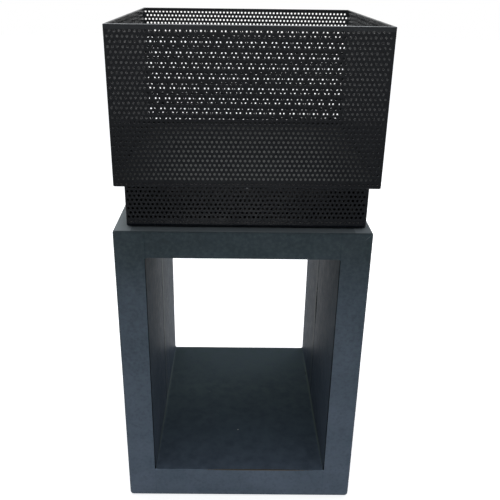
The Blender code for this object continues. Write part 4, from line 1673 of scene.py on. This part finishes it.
@dataclass
class Fasteners:
    """Countersunk socket screws through the ledges, with their washers and nuts."""

    ring: FastenerRing
    finish: bpy.types.Material
    steps: int = 24
    shank_radius: float = 0.0025
    head_radius: float = 0.0050
    socket_flats: float = 0.0030
    socket_depth: float = 0.0018
    thread_pitch: float = 0.0008
    thread_depth: float = 0.00045
    rings_per_turn: int = 6
    tip_chamfer: float = 0.0005
    nut_flats: float = 0.0080
    nut_chamfer: float = 0.0001
    nut_chamfer_degrees: float = 30
    bore_radius: float = 0.0028
    edge: float = 0.0001
    seed: int = 7

    @property
    def angles(self) -> list[float]:
        """The angles of the points round a ring."""
        return [2 * math.pi * i / self.steps for i in range(self.steps)]

    @staticmethod
    def hexagon(flats: float, angle: float) -> float:
        """The radius of a hexagon with this width across its flats, at an angle."""
        return flats / 2 / math.cos((angle + math.pi / 6) % (math.pi / 3) - math.pi / 6)

    def revolved(self, rings: list[list[tuple[float, float]]], closed: bool, name: str) -> bpy.types.Mesh:
        """Skin rings of points that lie round +Z.

        Args:
            rings: For each ring, a radius and a level for each step.
            closed: Whether the last ring meets the first, as round a bore.
            name: The mesh's name.

        Returns:
            The mesh.
        """
        bm = bmesh.new()
        rows = [[bm.verts.new((r * math.cos(a), r * math.sin(a), z)) for a, (r, z) in zip(self.angles, ring)]
                for ring in rings]
        pairs = list(zip(rows, rows[1:])) + ([(rows[-1], rows[0])] if closed else [])
        for lower, upper in pairs:
            for i in range(self.steps):
                j = (i + 1) % self.steps
                bm.faces.new((lower[i], lower[j], upper[j], upper[i]))
        if not closed:
            bm.faces.new(rows[0])
            bm.faces.new(rows[-1])
        mesh = mesh_from(bm, name)
        smooth_rounds(mesh, flat_axis=2)
        return mesh

    def even(self, radius: float, level: float) -> list[tuple[float, float]]:
        """A round, level ring."""
        return [(radius, level)] * self.steps

    def screw(self, length: float) -> bpy.types.Mesh:
        """A countersunk screw whose head's top is at level zero.

        Args:
            length: The screw's length.

        Returns:
            The mesh.
        """
        socket = [self.hexagon(self.socket_flats, a) for a in self.angles]
        rings = [[(r, -self.socket_depth) for r in socket], [(r, 0.0) for r in socket],
                 self.even(self.head_radius, 0.0)]
        neck = -(self.head_radius - self.shank_radius)
        count = round((length + neck - self.tip_chamfer) / self.thread_pitch * self.rings_per_turn)
        rings.append(self.even(self.shank_radius - self.thread_depth, neck))
        for k in range(1, count):
            level = neck - k * self.thread_pitch / self.rings_per_turn
            phases = [(level / self.thread_pitch + a / (2 * math.pi)) % 1 for a in self.angles]
            rings.append([(self.shank_radius - self.thread_depth * abs(2 * p - 1), level) for p in phases])
        rings.append(self.even(self.shank_radius - self.thread_depth, self.tip_chamfer - length))
        rings.append(self.even(self.shank_radius - self.thread_depth - self.tip_chamfer, -length))
        return self.revolved(rings, False, "screw")

    def washer(self, thickness: float) -> bpy.types.Mesh:
        """A flat washer with broken edges.

        Args:
            thickness: The washer's thickness.

        Returns:
            The mesh.
        """
        outer, inner, edge = self.head_radius, self.bore_radius, self.edge
        profile = [(inner, edge), (inner + edge, 0.0), (outer - edge, 0.0), (outer, edge),
                   (outer, thickness - edge), (outer - edge, thickness), (inner + edge, thickness),
                   (inner, thickness - edge)]
        return self.revolved([self.even(r, z) for r, z in profile], True, "washer")

    def nut(self, height: float) -> bpy.types.Mesh:
        """A hexagon nut with chamfered corners.

        Args:
            height: The nut's height.

        Returns:
            The mesh.
        """
        corners = [self.hexagon(self.nut_flats, a) for a in self.angles]
        face = self.nut_flats / 2 - self.nut_chamfer
        slope = math.tan(math.radians(self.nut_chamfer_degrees))
        rings = [self.even(self.bore_radius, 0.0), self.even(face, 0.0),
                 [(r, (r - face) * slope) for r in corners],
                 [(r, height - (r - face) * slope) for r in corners],
                 self.even(face, height), self.even(self.bore_radius, height)]
        return self.revolved(rings, True, "nut")

    def build(self) -> list[bpy.types.Object]:
        """Build, place and dress screws, washers and nuts.

        Returns:
            One piece for each kind.
        """
        pieces = []
        makers = {"screw": (self.screw, 1), "washer": (self.washer, 0), "nut": (self.nut, 0)}
        for kind, (make, anchor) in makers.items():
            boxes = {side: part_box(f"{kind}_{side.label}") for side in Side}
            low, high = boxes[Side.FRONT]
            middles = {side: (box[0] + box[1]) / 2 for side, box in boxes.items()}
            centre = (middles[Side.FRONT] + middles[Side.BACK]) / 2
            level = boxes[Side.FRONT][anchor].z
            unit = new_object(kind + "_unit", make(high.z - low.z))
            values = {"Count": len(Side), "Centre": (centre.x, centre.y, level),
                      "Reach": middles[Side.RIGHT].x - centre.x, "Seed": self.seed}
            mesh = self.ring.apply(unit, values, self.finish)
            pieces.append(deliver(f"{kind}_set", mesh, self.finish, Body.BOWL,
                                  [f"{kind}_{side.label}" for side in Side]))
        return pieces


@dataclass
class LedgeWelds:
    """Stitch welds that hold the basket's ledges to its walls."""

    welder: StitchWelds
    finish: bpy.types.Material
    sheet: float = 0.0015
    stitches: int = 5
    spacing: float = 0.068
    stitch_length: float = 0.018
    bead_radius: float = 0.0013
    ripple: float = 0.14
    ripple_pitch: float = 0.0014
    step: float = 0.00035
    sink: float = 0.0004
    seed: int = 3

    def build(self) -> bpy.types.Object:
        """Build and dress the beads.

        Returns:
            The beads.
        """
        ledge_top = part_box("basket_ledge_front")[1].z
        low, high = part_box("basket_wall_front")
        centre_x = (low.x + high.x) / 2
        start = new_object("weld_start", bpy.data.meshes.new("weld_start"))
        values = {"Stitches": self.stitches, "Spacing": self.spacing, "Stitch Length": self.stitch_length,
                  "Bead Radius": self.bead_radius, "Ripple": self.ripple, "Ripple Pitch": self.ripple_pitch,
                  "Step": self.step, "Centre": (centre_x, 0.0, ledge_top + self.bead_radius / 2 - self.sink),
                  "Reach": -low.y - self.sheet - self.bead_radius / 2 + self.sink, "Seed": self.seed}
        mesh = self.welder.apply(start, values, self.finish)
        mesh.shade_smooth()
        piece = new_object("ledge_welds", mesh, self.finish)
        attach(piece, Body.BOWL.value)
        LOG.info("ledge_welds: %d faces, rides on %s", len(mesh.polygons), Body.BOWL.value)
        return piece


@dataclass(frozen=True)
class Lamp:
    """A large soft lamp: where it hangs, what it points at, its width and depth, and its power."""

    name: str
    place: tuple[float, float, float]
    target: tuple[float, float, float]
    size: tuple[float, float]
    power: float
    glossy: bool = True

    def hang(self) -> None:
        """Hang the lamp, unseen by the camera itself."""
        lamp = bpy.data.lights.new(self.name, "AREA")
        lamp.shape = "RECTANGLE"
        lamp.size, lamp.size_y = self.size
        lamp.energy = self.power
        item = bpy.data.objects.new(self.name, lamp)
        bpy.context.scene.collection.objects.link(item)
        item.location = self.place
        item.rotation_euler = (Vector(self.target) - item.location).to_track_quat("-Z", "Y").to_euler()
        item.visible_camera = False
        item.visible_glossy = self.glossy


@dataclass(frozen=True)
class Studio:
    """Plain soft light, a pale floor and a white background."""

    floor_half: float = 8.0
    floor_colour: str = "#E6E7E8"
    floor_glow: float = 0.70
    floor_roughness: float = 0.9
    floor_specular: float = 0.1
    zenith: str = "#F2F5FA"
    horizon: str = "#9FA4AA"
    sky_stops: tuple[float, float] = (0.05, 0.75)
    fill_strength: float = 0.54
    lamps: tuple[Lamp, ...] = (
        Lamp("sky_panel", (-0.25, 0.45, 2.4), (0.0, 0.0, 0.6), (1.6, 1.0), 22.0),
        Lamp("side_panel", (1.3, 1.3, 0.5), (0.0, 0.0, 0.4), (0.8, 0.8), 8.0),
        Lamp("low_panel", (0.0, -1.5, 0.10), (0.0, -0.19, 0.10), (0.35, 0.35), 12.5, glossy=False),
    )

    @staticmethod
    def seen(tree: bpy.types.NodeTree) -> bpy.types.Node:
        """Whether a ray shows the background, rather than lights the object.

        Args:
            tree: The node tree.

        Returns:
            The node whose output is 1 for such a ray and 0 for others.
        """
        path = add_node(tree, "ShaderNodeLightPath")
        direct = add_node(tree, "ShaderNodeMath", {"operation": "MAXIMUM"},
                          {0: path.outputs["Is Camera Ray"], 1: path.outputs["Is Glossy Ray"]})
        return add_node(tree, "ShaderNodeMath", {"operation": "MAXIMUM"},
                        {0: direct, 1: path.outputs["Is Transmission Ray"]})

    def floor(self) -> None:
        """Lay a pale floor, which is seen as white but for the object's shadow."""
        bm = bmesh.new()
        bmesh.ops.create_grid(bm, x_segments=1, y_segments=1, size=self.floor_half)
        mesh = bpy.data.meshes.new("studio_floor")
        bm.to_mesh(mesh)
        bm.free()
        on = Surface("matt white paper")
        glow = add_node(on.tree, "ShaderNodeMath", {"operation": "MULTIPLY"},
                        {0: self.seen(on.tree), 1: self.floor_glow})
        material = on.finished({
            "Base Color": linear(self.floor_colour),
            "Roughness": self.floor_roughness,
            "Specular IOR Level": self.floor_specular,
            "Emission Color": (1, 1, 1, 1),
            "Emission Strength": glow,
        })
        new_object("studio_floor", mesh, material)

    def world(self) -> None:
        """Light the object from all round, and show white behind it."""
        world = bpy.data.worlds.new("studio")
        bpy.context.scene.world = world
        world.use_nodes = True
        tree = world.node_tree
        tree.nodes.clear()
        way = add_node(tree, "ShaderNodeSeparateXYZ", {},
                       {0: add_node(tree, "ShaderNodeTexCoord").outputs["Generated"]})
        sky = add_node(tree, "ShaderNodeValToRGB",
                       {"stops": dict(zip(self.sky_stops, (self.horizon, self.zenith)))},
                       {"Fac": way.outputs["Z"]})
        fill = add_node(tree, "ShaderNodeBackground", {}, {"Color": sky, "Strength": self.fill_strength})
        white = add_node(tree, "ShaderNodeBackground", {}, {"Color": (1, 1, 1, 1), "Strength": 1.0})
        both = add_node(tree, "ShaderNodeMixShader", {}, {0: self.seen(tree), 1: fill, 2: white})
        add_node(tree, "ShaderNodeOutputWorld", {}, {"Surface": both})

    def build(self) -> None:
        """Build the studio."""
        self.floor()
        self.world()
        for lamp in self.lamps:
            lamp.hang()
        LOG.info("studio ready")


@dataclass(frozen=True)
class PhotoCamera:
    """The camera that took the photograph, as fitted to the object's corners and outline."""

    place: tuple[float, float, float] = (-0.01205, -1.03749, 0.85586)
    turn_degrees: tuple[float, float, float] = (67.72892, -0.64024, -0.06217)
    focal_pixels: float = 627.625
    centre_pixels: tuple[float, float] = (238.187, 227.994)
    image_pixels: float = 500.0
    sensor_mm: float = 36.0
    clip: tuple[float, float] = (0.05, 50.0)

    def build(self) -> None:
        """Make it the scene's camera."""
        data = bpy.data.cameras.new("photo_camera")
        data.sensor_width = self.sensor_mm
        data.lens = self.focal_pixels * self.sensor_mm / self.image_pixels
        data.shift_x = 0.5 - self.centre_pixels[0] / self.image_pixels
        data.shift_y = self.centre_pixels[1] / self.image_pixels - 0.5
        data.clip_start, data.clip_end = self.clip
        item = bpy.data.objects.new("photo_camera", data)
        bpy.context.scene.collection.objects.link(item)
        item.location = self.place
        item.rotation_euler = [math.radians(a) for a in self.turn_degrees]
        bpy.context.scene.camera = item
        LOG.info("camera ready")


def basket_lattices() -> dict[Side, HoleLattice]:
    """The rows of holes in the basket's walls, which start nearer the end and the rim in the back wall.

    Returns:
        The rows for each side.
    """
    rows = {"columns": 57, "rows": 32, "pitch": 0.006588, "row_pitch": 0.006665, "stagger": -0.003294,
            "diameter": 0.0036, "turn_degrees": 0.218}
    wall = {"first_across": 0.00845, "first_down": 0.00872, "last_across": 0.3755}
    back = {"first_across": 0.00756, "first_down": 0.00793, "last_across": 0.3775}
    return {side: HoleLattice(**rows, **(back if side is Side.BACK else wall), seed=side.value)
            for side in Side}


def pedestal_lattices() -> dict[Side, HoleLattice]:
    """The rows of holes in the pedestal's walls.

    Returns:
        The rows for each side.
    """
    return {side: HoleLattice(columns=53, rows=9, first_across=0.00726, first_down=0.0041, stagger=-0.003277,
                              pitch=0.0065535, row_pitch=0.0065343, diameter=0.0040, turn_degrees=0.271,
                              last_across=0.3495, seed=10 + side.value)
            for side in Side}


def main() -> None:
    """Build the object, the studio and the camera."""
    logging.basicConfig(level=logging.INFO, format="%(name)s: %(message)s")
    bpy.context.scene.view_settings.view_transform = "Standard"
    PhotoCamera().build()
    coat = PowderCoat().material()
    tray_coat = HeatProofCoat().material()
    zinc = ZincPlate().material()
    punch = Punch()
    CastStand(finish=CastMagnesia()).build()
    Basket(punch, coat, basket_lattices()).build()
    Pedestal(punch, coat, pedestal_lattices()).build()
    FoldedPan("fire_tray", "loose_tray", Body.TRAY, Slot.TRAY, tray_coat, lip_trim=0.002).build()
    FoldedPan("pedestal_pan", "closing_pan", Body.BOWL, Slot.COATED, coat, side_trim=0.0018,
              corner_radius=0.005).build()
    Ledges(coat).dress()
    LedgeWelds(StitchWelds(), coat).build()
    Fasteners(FastenerRing(), zinc).build()
    Studio().build()


if __name__ == "__main__":
    main()
